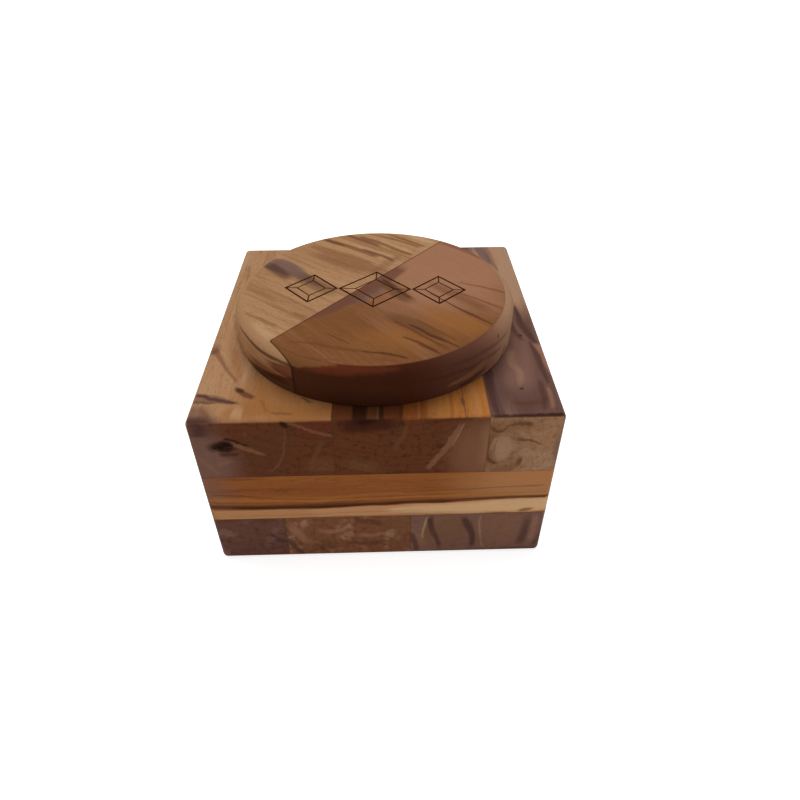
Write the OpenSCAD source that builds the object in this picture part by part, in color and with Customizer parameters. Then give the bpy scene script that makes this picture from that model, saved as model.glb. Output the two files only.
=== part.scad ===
// Square salt box glued up from three crossed courses of teak root, with a bored round well
// and a thick round lid that swivels sideways on a hidden upright pin.
// Millimetres. Origin under the middle of the box, on the surface it stands on. Front is -Y.

/* [Box] */
// Width of the box, left to right
body_w = 120; // [112:1:160]
// Depth of the box, front to back
body_d = 120; // [112:1:160]
// Height of the bottom course
bottom_course_h = 22.5; // [18:0.5:40]
// Height of the middle course
middle_course_h = 21.6; // [12:0.1:40]
// Height of the top course
top_course_h = 24.4; // [22:0.1:40]
// Rounding of the outer edges and corners
edge_r = 2; // [0.5:0.25:4]

/* [Glue lines] */
// Width of the left block of the top course
top_left_w = 45.8; // [40:0.1:55]
// Width of the right block of the top course
top_right_w = 24.2; // [10:0.1:40]
// Width of the left block of the bottom course
bottom_left_w = 25.5; // [10:0.1:50]
// Width of the right block of the bottom course
bottom_right_w = 49; // [10:0.1:55]
// Depth of the front board of the middle course
middle_front_d = 38; // [10:0.5:55]
// Depth of the back board of the middle course
middle_back_d = 36; // [10:0.5:55]

/* [Well] */
// Diameter of the well that holds the salt
well_d = 74; // [50:1:78]
// Thickness of the floor under the well
floor_h = 13.5; // [6:0.5:20]
// Radius where the wall of the well meets its floor
well_corner_r = 6; // [2:0.5:15]
// Rounding of the mouth of the well
well_mouth_r = 1.5; // [0.5:0.1:2.5]

/* [Lid] */
// Diameter of the lid
lid_d = 101.6; // [96:0.2:114]
// Thickness of the lid
lid_t = 14; // [11:0.1:20]
// Rounding of the upper rim of the lid
lid_rim_r = 4.25; // [1:0.25:6]
// Rounding of the lower rim of the lid
lid_foot_r = 0.8; // [0.2:0.1:2]
// How far the lid stands turned from square on its pin, in degrees, anticlockwise from above
lid_turn = -4.2; // [-20:0.1:20]
// Angle of the long glue line of the lid, in degrees from left to right
lid_seam_angle = 53.5; // [30:0.1:75]
// Distance of the long glue line from the middle of the lid
lid_seam_offset = 4.4; // [-8:0.1:8]
// How far in from the lid's rim the short glue line leaves the long one
lid_corner_in = 3.7; // [2:0.1:12]
// Lean of the short glue line from square to the long one, in degrees
lid_corner_lean = 13; // [-20:0.5:20]

/* [Pivot pin] */
// Diameter of the pin
pin_d = 6; // [4:0.5:7]
// Distance of the pin from the middle of the box
pin_reach = 44; // [42:0.25:45]
// Direction of the pin from the middle of the box, in degrees anticlockwise from the right
pin_angle = 176.5; // [140:0.5:180]
// Length of pin glued into the box
pin_in_box = 20; // [10:0.5:30]
// Length of pin inside the lid
pin_in_lid = 8; // [4:0.5:9]
// Chamfer at both ends of the pin
pin_chamfer = 0.6; // [0.2:0.1:1]
// Gap all round the pin where it is glued
pin_glue_gap = 0.03; // [0.01:0.01:0.1]
// Running gap all round the pin in the lid
pin_running_gap = 0.06; // [0.02:0.01:0.1]
// Air above the pin, so that the lid rests on the box
pin_end_gap = 0.6; // [0.3:0.1:1]

/* [Hidden] */
$fn = 96;
lid_fn = 360;
overshoot = 1;
middle_z = bottom_course_h;
top_z = middle_z + middle_course_h;
body_h = top_z + top_course_h;
left_x = -body_w / 2;
right_x = body_w / 2;
front_y = -body_d / 2;
back_y = body_d / 2;
top_left_seam = left_x + top_left_w;
top_right_seam = right_x - top_right_w;
bottom_left_seam = left_x + bottom_left_w;
bottom_right_seam = right_x - bottom_right_w;
middle_front_seam = front_y + middle_front_d;
middle_back_seam = back_y - middle_back_d;
well_r = well_d / 2;
lid_r = lid_d / 2;
lid_corner_reach = lid_r - lid_corner_in;
pin_x = pin_reach * cos(pin_angle);
pin_y = pin_reach * sin(pin_angle);

// The outside of the whole box: flat faces, round edges and ball corners
module rounded_outside() {
    w = body_w - 2 * edge_r;
    d = body_d - 2 * edge_r;
    h = body_h - 2 * edge_r;
    translate([0, 0, body_h / 2]) {
        cube([w, d, body_h], center = true);
        cube([w, body_d, h], center = true);
        cube([body_w, d, h], center = true);
        for (sx = [-1, 1], sy = [-1, 1])
            translate([sx * w / 2, sy * d / 2, 0]) cylinder(h = h, r = edge_r, center = true);
        for (sx = [-1, 1], sz = [-1, 1])
            translate([sx * w / 2, 0, sz * h / 2])
                rotate([90, 0, 0]) cylinder(h = d, r = edge_r, center = true);
        for (sy = [-1, 1], sz = [-1, 1])
            translate([0, sy * d / 2, sz * h / 2])
                rotate([0, 90, 0]) cylinder(h = w, r = edge_r, center = true);
        for (sx = [-1, 1], sy = [-1, 1], sz = [-1, 1])
            translate([sx * w / 2, sy * d / 2, sz * h / 2]) sphere(r = edge_r);
    }
}

// What the drill and the router take out for the salt
module well() {
    rotate_extrude() {
        translate([0, floor_h + well_corner_r])
            square([well_r, body_h + overshoot - floor_h - well_corner_r]);
        translate([0, floor_h])
            square([well_r - well_corner_r, body_h - floor_h]);
        translate([well_r - well_corner_r, floor_h + well_corner_r]) circle(r = well_corner_r);
        difference() {
            translate([0, body_h - well_mouth_r])
                square([well_r + well_mouth_r, well_mouth_r + overshoot]);
            translate([well_r + well_mouth_r, body_h - well_mouth_r]) circle(r = well_mouth_r);
        }
    }
}

// The blind hole that the pin is glued into
module pin_seat() {
    translate([pin_x, pin_y, body_h - pin_in_box])
        cylinder(h = pin_in_box + overshoot, r = pin_d / 2 + pin_glue_gap);
}

// One block or board of the box, between two opposite corners
module box_block(low, high) {
    difference() {
        intersection() {
            rounded_outside();
            translate(low) cube(high - low);
        }
        well();
        pin_seat();
    }
}

// The lid's turned shape, standing on the box and centred on its own middle
module lid_disc() {
    rotate_extrude($fn = lid_fn) {
        square([lid_r - lid_foot_r, lid_t - lid_rim_r]);
        translate([0, lid_foot_r]) square([lid_r, lid_t - lid_rim_r - lid_foot_r]);
        translate([0, lid_t - lid_rim_r]) square([lid_r - lid_rim_r, lid_rim_r]);
        translate([lid_r - lid_rim_r, lid_t - lid_rim_r]) circle(r = lid_rim_r);
        translate([lid_r - lid_foot_r, lid_foot_r]) circle(r = lid_foot_r);
    }
}

// All that lies on the far side of the lid's long glue line
module beyond_long_seam() {
    rotate(lid_seam_angle)
        translate([-lid_d, lid_seam_offset, -overshoot])
            cube([2 * lid_d, lid_d, lid_t + 2 * overshoot]);
}

// All that lies outside the lid's short glue line
module beyond_short_seam() {
    rotate(lid_seam_angle)
        translate([-lid_corner_reach, lid_seam_offset, -overshoot])
            rotate(-lid_corner_lean)
                translate([-lid_d, -lid_d, 0])
                    cube([lid_d, 2 * lid_d, lid_t + 2 * overshoot]);
}

// The hole in the lid's underside that runs on the pin
module pin_socket() {
    translate([pin_x, pin_y, -overshoot])
        cylinder(h = pin_in_lid + pin_end_gap + overshoot, r = pin_d / 2 + pin_running_gap);
}

// Turns the lid about its pin to where it stands, on top of the box
module lid_place() {
    translate([pin_x, pin_y, body_h])
        rotate(lid_turn)
            translate([-pin_x, -pin_y, 0])
                children();
}

module bottom_left_block() {
    color([0.36, 0.24, 0.19])
        box_block([left_x, front_y, 0], [bottom_left_seam, back_y, middle_z]);
}

module bottom_centre_block() {
    color([0.45, 0.30, 0.20])
        box_block([bottom_left_seam, front_y, 0], [bottom_right_seam, back_y, middle_z]);
}

module bottom_right_block() {
    color([0.43, 0.29, 0.22])
        box_block([bottom_right_seam, front_y, 0], [right_x, back_y, middle_z]);
}

module middle_front_board() {
    color([0.52, 0.33, 0.18])
        box_block([left_x, front_y, middle_z], [right_x, middle_front_seam, top_z]);
}

module middle_left_board() {
    color([0.50, 0.33, 0.20])
        box_block([left_x, middle_front_seam, middle_z], [0, middle_back_seam, top_z]);
}

module middle_right_board() {
    color([0.50, 0.33, 0.20])
        box_block([0, middle_front_seam, middle_z], [right_x, middle_back_seam, top_z]);
}

module middle_back_board() {
    color([0.54, 0.36, 0.22])
        box_block([left_x, middle_back_seam, middle_z], [right_x, back_y, top_z]);
}

module top_left_block() {
    color([0.66, 0.48, 0.29])
        box_block([left_x, front_y, top_z], [top_left_seam, back_y, body_h]);
}

module top_centre_front_block() {
    color([0.62, 0.40, 0.20])
        box_block([top_left_seam, front_y, top_z], [top_right_seam, 0, body_h]);
}

module top_centre_back_block() {
    color([0.62, 0.40, 0.20])
        box_block([top_left_seam, 0, top_z], [top_right_seam, back_y, body_h]);
}

module top_right_block() {
    color([0.50, 0.37, 0.29])
        box_block([top_right_seam, front_y, top_z], [right_x, back_y, body_h]);
}

module lid_pale_board() {
    color([0.67, 0.50, 0.34])
        lid_place() difference() {
            intersection() {
                lid_disc();
                beyond_long_seam();
            }
            pin_socket();
        }
}

module lid_brown_board() {
    color([0.55, 0.38, 0.24])
        lid_place() difference() {
            lid_disc();
            beyond_long_seam();
            beyond_short_seam();
            pin_socket();
        }
}

module lid_corner_board() {
    color([0.68, 0.52, 0.36])
        lid_place() difference() {
            intersection() {
                lid_disc();
                beyond_short_seam();
            }
            beyond_long_seam();
        }
}

module pivot_pin() {
    pin_l = pin_in_box + pin_in_lid;
    color([0.72, 0.73, 0.74])
        translate([pin_x, pin_y, body_h - pin_in_box])
            rotate_extrude()
                polygon([
                    [0, 0],
                    [pin_d / 2 - pin_chamfer, 0],
                    [pin_d / 2, pin_chamfer],
                    [pin_d / 2, pin_l - pin_chamfer],
                    [pin_d / 2 - pin_chamfer, pin_l],
                    [0, pin_l]
                ]);
}

bottom_left_block();
bottom_centre_block();
bottom_right_block();
middle_front_board();
middle_left_board();
middle_right_board();
middle_back_board();
top_left_block();
top_centre_front_block();
top_centre_back_block();
top_right_block();
lid_pale_board();
lid_brown_board();
lid_corner_board();
pivot_pin();
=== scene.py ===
"""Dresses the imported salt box: square body of crossed teak blocks and a turned lid that swivels on a pin.

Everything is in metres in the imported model's own frame. Marks in the wood are placed in millimetres.
"""
import math

import bmesh
import bpy
from bpy.props import FloatProperty, FloatVectorProperty, IntProperty, PointerProperty
from bpy.types import Operator, Panel, PropertyGroup
from mathutils import Matrix, Vector


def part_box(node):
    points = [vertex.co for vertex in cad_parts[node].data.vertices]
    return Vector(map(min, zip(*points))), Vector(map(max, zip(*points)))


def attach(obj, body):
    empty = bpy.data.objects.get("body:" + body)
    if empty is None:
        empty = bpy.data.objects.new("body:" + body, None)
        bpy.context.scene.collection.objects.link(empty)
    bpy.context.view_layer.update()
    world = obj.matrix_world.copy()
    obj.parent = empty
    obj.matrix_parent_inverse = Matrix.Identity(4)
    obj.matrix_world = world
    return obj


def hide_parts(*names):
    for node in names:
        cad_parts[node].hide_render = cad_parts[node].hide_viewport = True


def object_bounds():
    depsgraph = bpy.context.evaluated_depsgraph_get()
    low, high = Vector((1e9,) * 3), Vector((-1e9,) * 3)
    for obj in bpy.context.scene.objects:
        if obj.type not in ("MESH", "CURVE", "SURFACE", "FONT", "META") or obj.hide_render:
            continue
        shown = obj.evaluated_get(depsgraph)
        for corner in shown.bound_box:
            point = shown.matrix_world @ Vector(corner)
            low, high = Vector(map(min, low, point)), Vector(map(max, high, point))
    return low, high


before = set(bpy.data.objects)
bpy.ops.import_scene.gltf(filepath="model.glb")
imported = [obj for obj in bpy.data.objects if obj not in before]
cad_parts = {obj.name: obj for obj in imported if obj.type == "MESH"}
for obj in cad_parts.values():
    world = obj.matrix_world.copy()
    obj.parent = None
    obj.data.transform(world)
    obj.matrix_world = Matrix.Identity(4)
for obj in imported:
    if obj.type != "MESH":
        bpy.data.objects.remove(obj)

bl_info = {
    "name": "Salt box with swivel lid",
    "version": (1, 0, 0),
    "blender": (4, 5, 0),
    "location": "3D View > Sidebar > Salt Box",
    "description": "Builds a salt box of crossed teak blocks with a turned swivel lid",
    "category": "Object",
}

CAD_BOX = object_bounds()
MM = 0.001
FRONT = CAD_BOX[0].y
HOLE_SIDES = 48
SMOOTH_BELOW = math.radians(35)
KNOT_ALONG = -49.6 * MM
KNOT_UP = 58.4 * MM
CRYSTALS = ((-23.5, 10.0, 10.4), (0.0, 13.5, 13.2), (23.5, 10.0, 10.4))
INNER_SHARE = 0.56
BAR_SHARE = 0.97
LAMPS_AIM = (0, 0, 40 * MM)
WHITE = (1, 1, 1, 1)


def stain(red, green, blue):
    """A colour given on a scale of 0 to 255, as the linear colour that a shader takes."""
    return tuple(((c / 255 + 0.055) / 1.055) ** 2.4 for c in (red, green, blue))


def colour_setting(name, description, red, green, blue):
    """A colour property with the given stain as its default."""
    return FloatVectorProperty(name=name, description=description, subtype="COLOR", size=3,
                               min=0.0, max=1.0, default=stain(red, green, blue))


def length_setting(name, description, millimetres):
    """A length property whose default is given in millimetres."""
    return FloatProperty(name=name, description=description, default=millimetres * MM,
                         min=0.0, unit="LENGTH", subtype="DISTANCE", precision=5)


def angle_setting(name, description, degrees):
    """An angle property whose default is given in degrees."""
    return FloatProperty(name=name, description=description, default=math.radians(degrees),
                         unit="ROTATION", subtype="ANGLE")


class BoxSizes(PropertyGroup):
    """Sizes of the box that the blocks are cut from."""
    edge_round: length_setting("Edge rounding", "Rounding of the outer edges and corners", 2.0)
    edge_steps: IntProperty(name="Edge steps", description="Faces across each rounded edge",
                            default=8, min=1, max=32)
    well_radius: length_setting("Well radius", "Half the width of the well for the salt", 37.0)
    well_floor: length_setting("Well floor", "Thickness of the floor under the well", 13.5)
    well_corner: length_setting("Well corner", "Radius where the well's wall meets its floor", 6.0)
    well_mouth: length_setting("Well mouth", "Rounding of the well's mouth", 1.5)
    well_steps: IntProperty(name="Well steps", description="Faces round the well",
                            default=192, min=24, max=512)
    pin_reach: length_setting("Pin reach", "Distance of the pivot pin from the middle", 44.0)
    pin_angle: angle_setting("Pin angle", "Direction of the pivot pin from the middle", 176.5)
    pin_radius: length_setting("Pin radius", "Half the width of the pivot pin", 3.0)
    pin_seat: length_setting("Pin seat", "Depth of the hole that the pin is glued into", 20.0)
    pin_seat_gap: length_setting("Pin seat gap", "Gap round the pin in the box", 0.03)
    knot_width: length_setting("Knot width", "Half the width of the open knot in front", 3.6)
    knot_height: length_setting("Knot height", "Half the height of the open knot in front", 1.35)
    knot_depth: length_setting("Knot depth", "Depth of the open knot in front", 0.9)


class LidSizes(PropertyGroup):
    """Sizes of the turned lid and of the ornament cut into it."""
    radius: length_setting("Lid radius", "Half the width of the lid", 50.8)
    thickness: length_setting("Lid thickness", "Thickness of the lid", 14.0)
    rim_round: length_setting("Rim rounding", "Rounding of the upper rim", 4.25)
    foot_round: length_setting("Foot rounding", "Rounding of the lower rim", 0.8)
    rim_steps: IntProperty(name="Rim steps", description="Faces round the lid",
                           default=288, min=32, max=720)
    turn: angle_setting("Turn", "How far the lid stands turned on its pin", -4.2)
    seam_angle: angle_setting("Seam angle", "Direction of the long glue line", 53.5)
    seam_offset: length_setting("Seam offset", "Distance of the long glue line from the middle", 4.4)
    corner_in: length_setting("Corner in", "How far in from the rim the short glue line starts", 3.7)
    corner_lean: angle_setting("Corner lean", "Lean of the short glue line from square", 13.0)
    socket_depth: length_setting("Socket depth", "Depth of the hole that runs on the pin", 8.6)
    socket_gap: length_setting("Socket gap", "Running gap round the pin", 0.06)
    line_width: length_setting("Cut line width", "Width of the ornament's outer lines", 0.75)
    fine_width: length_setting("Fine line width", "Width of the ornament's inner lines", 0.5)
    line_depth: length_setting("Cut depth", "Depth of the ornament's lines", 0.45)
    row_turn: angle_setting("Row turn", "Direction of the ornament's row", -3.3)


class Stains(PropertyGroup):
    """Colours of the wood, as they look in full light."""
    tan: colour_setting("Tan", "Pale top of the left block", 172, 130, 93)
    honey: colour_setting("Honey", "Golden wood near the front", 152, 99, 52)
    straw: colour_setting("Straw", "Lightest yellow streaks", 188, 152, 114)
    amber: colour_setting("Amber", "Orange brown of the centre block", 118, 62, 27)
    gold: colour_setting("Gold", "Light orange of the centre block", 173, 111, 54)
    rust: colour_setting("Rust", "Reddish brown streaks", 112, 70, 48)
    umber: colour_setting("Umber", "Middle brown", 94, 56, 34)
    bark: colour_setting("Bark", "Dark brown streaks", 64, 31, 19)
    coal: colour_setting("Coal", "Nearly black streaks and knots", 36, 17, 10)
    plum: colour_setting("Plum", "Dark purple brown", 74, 47, 42)
    grape: colour_setting("Grape", "Purple brown of the right block", 105, 75, 65)
    putty: colour_setting("Putty", "Greyish tan of the right block", 172, 135, 106)
    slate: colour_setting("Slate", "Grey brown patches", 108, 85, 79)
    rose: colour_setting("Rose", "Pinkish brown of the lid", 164, 118, 90)
    oak: colour_setting("Oak", "Golden brown of the lid", 125, 81, 49)
    cocoa: colour_setting("Cocoa", "Dark grey brown of the lid", 104, 70, 48)
    russet: colour_setting("Russet", "Saturated brown of the middle course", 147, 85, 44)
    sap: colour_setting("Sapwood", "Pale stripe of the middle course", 200, 146, 102)
    end_brown: colour_setting("End brown", "End grain of the top course", 102, 56, 33)
    end_light: colour_setting("End light", "Light marks in the end grain", 140, 98, 72)
    end_grey: colour_setting("End grey", "Greyish end grain", 126, 92, 80)
    end_olive: colour_setting("End olive", "Olive end grain", 120, 83, 53)
    glue: colour_setting("Glue line", "Dark thin line where boards are glued", 66, 38, 24)
    scorch: colour_setting("Scorch", "Burnt colour of the cut ornament", 84, 38, 22)
    end_tan: colour_setting("End tan", "Pale end grain of the right block", 162, 120, 88)
    end_rust: colour_setting("End rust", "Warm end grain of the bottom course", 130, 83, 57)
    mauve: colour_setting("Mauve", "Dull purple brown", 108, 70, 57)
    brick: colour_setting("Brick", "Dark red brown of the lid's edge", 100, 48, 31)
    ginger: colour_setting("Ginger", "Light end of the middle course", 182, 126, 80)
    cream: colour_setting("Cream", "Lightest sapwood", 226, 184, 137)
    steel: colour_setting("Steel", "Pivot pin", 200, 202, 205)


class StageSettings(PropertyGroup):
    """Camera, lights and floor."""
    camera_place: FloatVectorProperty(name="Camera place", description="Where the camera stands",
                                      default=(0.003589, -0.204365, 0.195927), size=3,
                                      unit="LENGTH", subtype="TRANSLATION", precision=6)
    camera_yaw: angle_setting("Camera yaw", "Turn of the camera to the left", -1.474)
    camera_pitch: angle_setting("Camera pitch", "Look down from level", 39.645)
    camera_roll: angle_setting("Camera roll", "Roll of the camera", -0.213)
    camera_lens: FloatProperty(name="Camera lens", description="Focal length in millimetres",
                               default=27.83, min=1.0, unit="CAMERA")
    key_place: FloatVectorProperty(name="Key place", description="Direction that the key light comes from",
                                   default=(-0.15, 0.45, 0.95), size=3,
                                   unit="LENGTH", subtype="TRANSLATION")
    fill_place: FloatVectorProperty(name="Fill place", description="Where the fill light stands",
                                    default=(0.75, -1.0, 0.6), size=3,
                                    unit="LENGTH", subtype="TRANSLATION")
    fill_size: length_setting("Fill size", "Side of the square fill light", 800)
    sky_level: FloatProperty(name="Sky level", description="Light from all round", default=0.36, min=0.0)
    key_strength: FloatProperty(name="Key light", description="Strength of the broad light above and behind",
                                default=1.9, min=0.0)
    key_spread: angle_setting("Key spread", "How wide and soft the key light is", 55.0)
    fill_power: FloatProperty(name="Fill light", description="Power of the soft light in front",
                              default=3.0, min=0.0, unit="POWER")
    floor_size: FloatProperty(name="Floor size", description="Side of the square floor",
                              default=8.0, min=1.0, unit="LENGTH", subtype="DISTANCE")
    floor_grey: FloatProperty(name="Floor grey", description="How pale the floor's own colour is",
                              default=0.8, min=0.0, max=1.0)
    floor_glow: FloatProperty(name="Floor glow", description="Light added where the camera sees the floor",
                              default=0.72, min=0.0)
    floor_drop: length_setting("Floor drop", "Gap that keeps the floor off the box's underside", 0.05)


def only(piece):
    """Leaves one object selected and active."""
    bpy.ops.object.select_all(action="DESELECT")
    piece.select_set(True)
    bpy.context.view_layer.objects.active = piece


def settle(piece):
    """Moves an object's place, turn and scale into its mesh, so that it sits at the origin."""
    only(piece)
    bpy.ops.object.transform_apply(location=True, rotation=True, scale=True)
    return piece


def new_cylinder(sides, radius, low, high, centre):
    """A closed upright cylinder between two heights."""
    bpy.ops.object.select_all(action="DESELECT")
    bpy.ops.mesh.primitive_cylinder_add(vertices=sides, radius=radius, depth=high - low,
                                        location=(centre[0], centre[1], (low + high) / 2))
    return settle(bpy.context.object)


def new_cuboid(low, high):
    """A box between two opposite corners."""
    low, high = Vector(low), Vector(high)
    bpy.ops.object.select_all(action="DESELECT")
    bpy.ops.mesh.primitive_cube_add(size=1, location=(low + high) / 2, scale=high - low)
    return settle(bpy.context.object)


def select_only(piece, kind, test):
    """Selects, in edit mode, the edges or faces that pass the test and nothing else."""
    mesh = bmesh.from_edit_mesh(piece.data)
    for element in (*mesh.faces, *mesh.edges, *mesh.verts):
        element.select = False
    for element in getattr(mesh, kind):
        if test(element):
            element.select_set(True)
    bmesh.update_edit_mesh(piece.data)


def round_edges(piece, test, radius, steps):
    """Bevels the edges that pass the test to a quarter round."""
    only(piece)
    bpy.ops.object.mode_set(mode="EDIT")
    bpy.ops.mesh.select_mode(type="EDGE")
    select_only(piece, "edges", test)
    bpy.ops.mesh.bevel(offset=radius, segments=steps, profile=0.5, affect="EDGES")
    bpy.ops.object.mode_set(mode="OBJECT")


def ring_test(height, radius, centre):
    """A test for the edges of one level ring."""
    middle = Vector((centre[0], centre[1], height))

    def lies_on_ring(edge):
        return all(abs(v.co.z - height) < 1e-6 and abs((v.co - middle).length - radius) < 2e-5
                   for v in edge.verts)
    return lies_on_ring


def cut_away(piece, cutter):
    """Cuts one object's shape out of another and removes the cutter."""
    only(piece)
    modifier = piece.modifiers.new("Cut", "BOOLEAN")
    modifier.operation = "DIFFERENCE"
    modifier.solver = "EXACT"
    modifier.object = cutter
    bpy.ops.object.modifier_apply(modifier=modifier.name)
    bpy.data.objects.remove(cutter)


def saw(piece, point, direction):
    """Saws a piece along a plane, keeps the side that the direction points to and closes the cut."""
    only(piece)
    bpy.ops.object.mode_set(mode="EDIT")
    bpy.ops.mesh.select_mode(type="FACE")
    bpy.ops.mesh.select_all(action="SELECT")
    bpy.ops.mesh.bisect(plane_co=point, plane_no=direction, use_fill=True, clear_inner=True)
    bpy.ops.object.mode_set(mode="OBJECT")


def slot_name(node):
    """The name of the wood of a block or board."""
    return node.replace("_block", "_teak").replace("_board", "_teak")


def copy_of(piece, name):
    """A copy with its own mesh."""
    twin = piece.copy()
    twin.data = piece.data.copy()
    twin.name = name
    twin.data.name = name
    bpy.context.scene.collection.objects.link(twin)
    return twin


def smooth(piece):
    """Smooth rounds beside flat faces and sharp edges."""
    only(piece)
    bpy.ops.object.shade_smooth_by_angle(angle=SMOOTH_BELOW)
    piece.modifiers.new("Flat faces", "WEIGHTED_NORMAL").keep_sharp = True
    bpy.ops.object.modifier_apply(modifier="Flat faces")


def pin_centre(sizes):
    """Where the pivot pin stands, seen from above."""
    return (sizes.pin_reach * math.cos(sizes.pin_angle), sizes.pin_reach * math.sin(sizes.pin_angle))


def glued_body(sizes):
    """The whole box before it is told apart into blocks: rounded, bored for salt and for the pin."""
    low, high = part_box("bottom_left_block")[0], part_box("top_right_block")[1]
    body = new_cuboid(low, high)
    round_edges(body, lambda edge: True, sizes.edge_round, sizes.edge_steps)
    drill = new_cylinder(sizes.well_steps, sizes.well_radius, sizes.well_floor, high.z + MM, (0, 0))
    round_edges(drill, ring_test(sizes.well_floor, sizes.well_radius, (0, 0)), sizes.well_corner, steps=12)
    cut_away(body, drill)
    round_edges(body, ring_test(high.z, sizes.well_radius, (0, 0)), sizes.well_mouth, steps=6)
    seat_radius = sizes.pin_radius + sizes.pin_seat_gap
    seat = new_cylinder(HOLE_SIDES, seat_radius, high.z - sizes.pin_seat, high.z + MM, pin_centre(sizes))
    cut_away(body, seat)
    return body


def body_top():
    """Height of the box without its lid."""
    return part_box("top_right_block")[1].z


def glued_faces(node):
    """The planes on which a block is glued to its neighbours, each as a point and the way into the block."""
    low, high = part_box(node)
    planes = []
    for axis in range(3):
        direction = Vector((0, 0, 0))
        direction[axis] = 1
        if low[axis] > CAD_BOX[0][axis] + MM:
            planes.append((low, direction))
        if high[axis] < (body_top() if axis == 2 else CAD_BOX[1][axis]) - MM:
            planes.append((high, -direction))
    return planes


def sawn_out(whole, node, planes):
    """A copy of the whole with only what lies inside the planes, named for the wood of a node."""
    piece = copy_of(whole, slot_name(node))
    for point, direction in planes:
        saw(piece, point, direction)
    return piece


def give_materials(piece, *materials):
    """Gives a piece these materials and no others."""
    piece.data.materials.clear()
    for material in materials:
        piece.data.materials.append(material)


def make_blocks(*names):
    """Builds the named blocks of the box and gives each its wood."""
    sizes = bpy.context.scene.salt_box_sizes
    body = glued_body(sizes)
    for node in names:
        block = sawn_out(body, node, glued_faces(node))
        if node == "top_left_block":
            open_knot(block, sizes)
        smooth(block)
        give_materials(block, dressed(node))
        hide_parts(node)
        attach(block, "box")
    bpy.data.objects.remove(body)


def open_knot(block, sizes):
    """Hollows the small open knot in the front of the left block."""
    bpy.ops.object.select_all(action="DESELECT")
    bpy.ops.mesh.primitive_ico_sphere_add(subdivisions=4, radius=1, location=(KNOT_ALONG, FRONT, KNOT_UP),
                                          scale=(sizes.knot_width, sizes.knot_depth, sizes.knot_height))
    hollow = settle(bpy.context.object)
    for vertex in hollow.data.vertices:
        across = (vertex.co.x - KNOT_ALONG) / sizes.knot_width
        vertex.co.z += MM * (0.5 * math.sin(4.1 * across) + 0.4 * across)
        vertex.co.x += MM * 0.4 * math.sin(3 * vertex.co.z / MM)
    cut_away(block, hollow)


def lid_place(sizes, box):
    """Turns the lid's own plane about the pin to where the lid stands."""
    pin = Vector((*pin_centre(box), 0))
    return Matrix.Translation(pin) @ Matrix.Rotation(sizes.turn, 4, "Z") @ Matrix.Translation(-pin)


def lid_seams(sizes, box):
    """The long and the short glue line of the lid, each as a point and the direction across it."""
    place = lid_place(sizes, box)
    seam = Matrix.Rotation(sizes.seam_angle, 4, "Z")
    lean = Matrix.Rotation(sizes.seam_angle - sizes.corner_lean, 4, "Z")
    reach = sizes.radius - sizes.corner_in
    long_point = place @ (seam @ Vector((0, sizes.seam_offset, 0)))
    long_across = (place @ seam).to_3x3() @ Vector((0, 1, 0))
    short_point = place @ (seam @ Vector((-reach, sizes.seam_offset, 0)))
    short_across = (place @ lean).to_3x3() @ Vector((1, 0, 0))
    return (long_point, long_across), (short_point, short_across)


def turned_lid(sizes, box):
    """The whole lid before it is told apart into boards: rims rounded, drilled for the pin."""
    foot = body_top()
    top = foot + sizes.thickness
    middle = lid_place(sizes, box) @ Vector((0, 0, 0))
    lid = new_cylinder(sizes.rim_steps, sizes.radius, foot, top, middle)
    round_edges(lid, ring_test(top, sizes.radius, middle), sizes.rim_round, steps=14)
    round_edges(lid, ring_test(foot, sizes.radius, middle), sizes.foot_round, steps=4)
    socket_radius = box.pin_radius + sizes.socket_gap
    socket = new_cylinder(HOLE_SIDES, socket_radius, foot - MM, foot + sizes.socket_depth, pin_centre(box))
    cut_away(lid, socket)
    return lid, middle, top


def lozenge_cutter(centre, half_width, half_height, line, depth, turn):
    """A closed frame in the shape of a lozenge, as deep as the ornament is cut."""
    frame_piece = new_cylinder(4, 1, centre.z - depth, centre.z + MM, (0, 0))
    frame_piece.scale = (half_width, half_height, 1)
    frame_piece.rotation_euler.z = turn
    frame_piece.location = (centre.x, centre.y, 0)
    settle(frame_piece)
    bpy.ops.object.mode_set(mode="EDIT")
    bpy.ops.mesh.select_mode(type="FACE")
    select_only(frame_piece, "faces", lambda face: abs(face.normal.z) > 0.9)
    bpy.ops.mesh.inset(thickness=line, use_even_offset=True)
    bpy.ops.mesh.bridge_edge_loops()
    bpy.ops.mesh.select_all(action="SELECT")
    bpy.ops.mesh.normals_make_consistent(inside=False)
    bpy.ops.object.mode_set(mode="OBJECT")
    return frame_piece


def bar_cutter(start, end, line, depth):
    """A straight bar between two points, as deep as the ornament is cut."""
    run = end - start
    bpy.ops.object.select_all(action="DESELECT")
    bpy.ops.mesh.primitive_cube_add(size=1, location=(start + end) / 2 + Vector((0, 0, (MM - depth) / 2)),
                                    rotation=(0, 0, math.atan2(run.y, run.x)),
                                    scale=(run.length, line, MM + depth))
    return settle(bpy.context.object)


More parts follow.
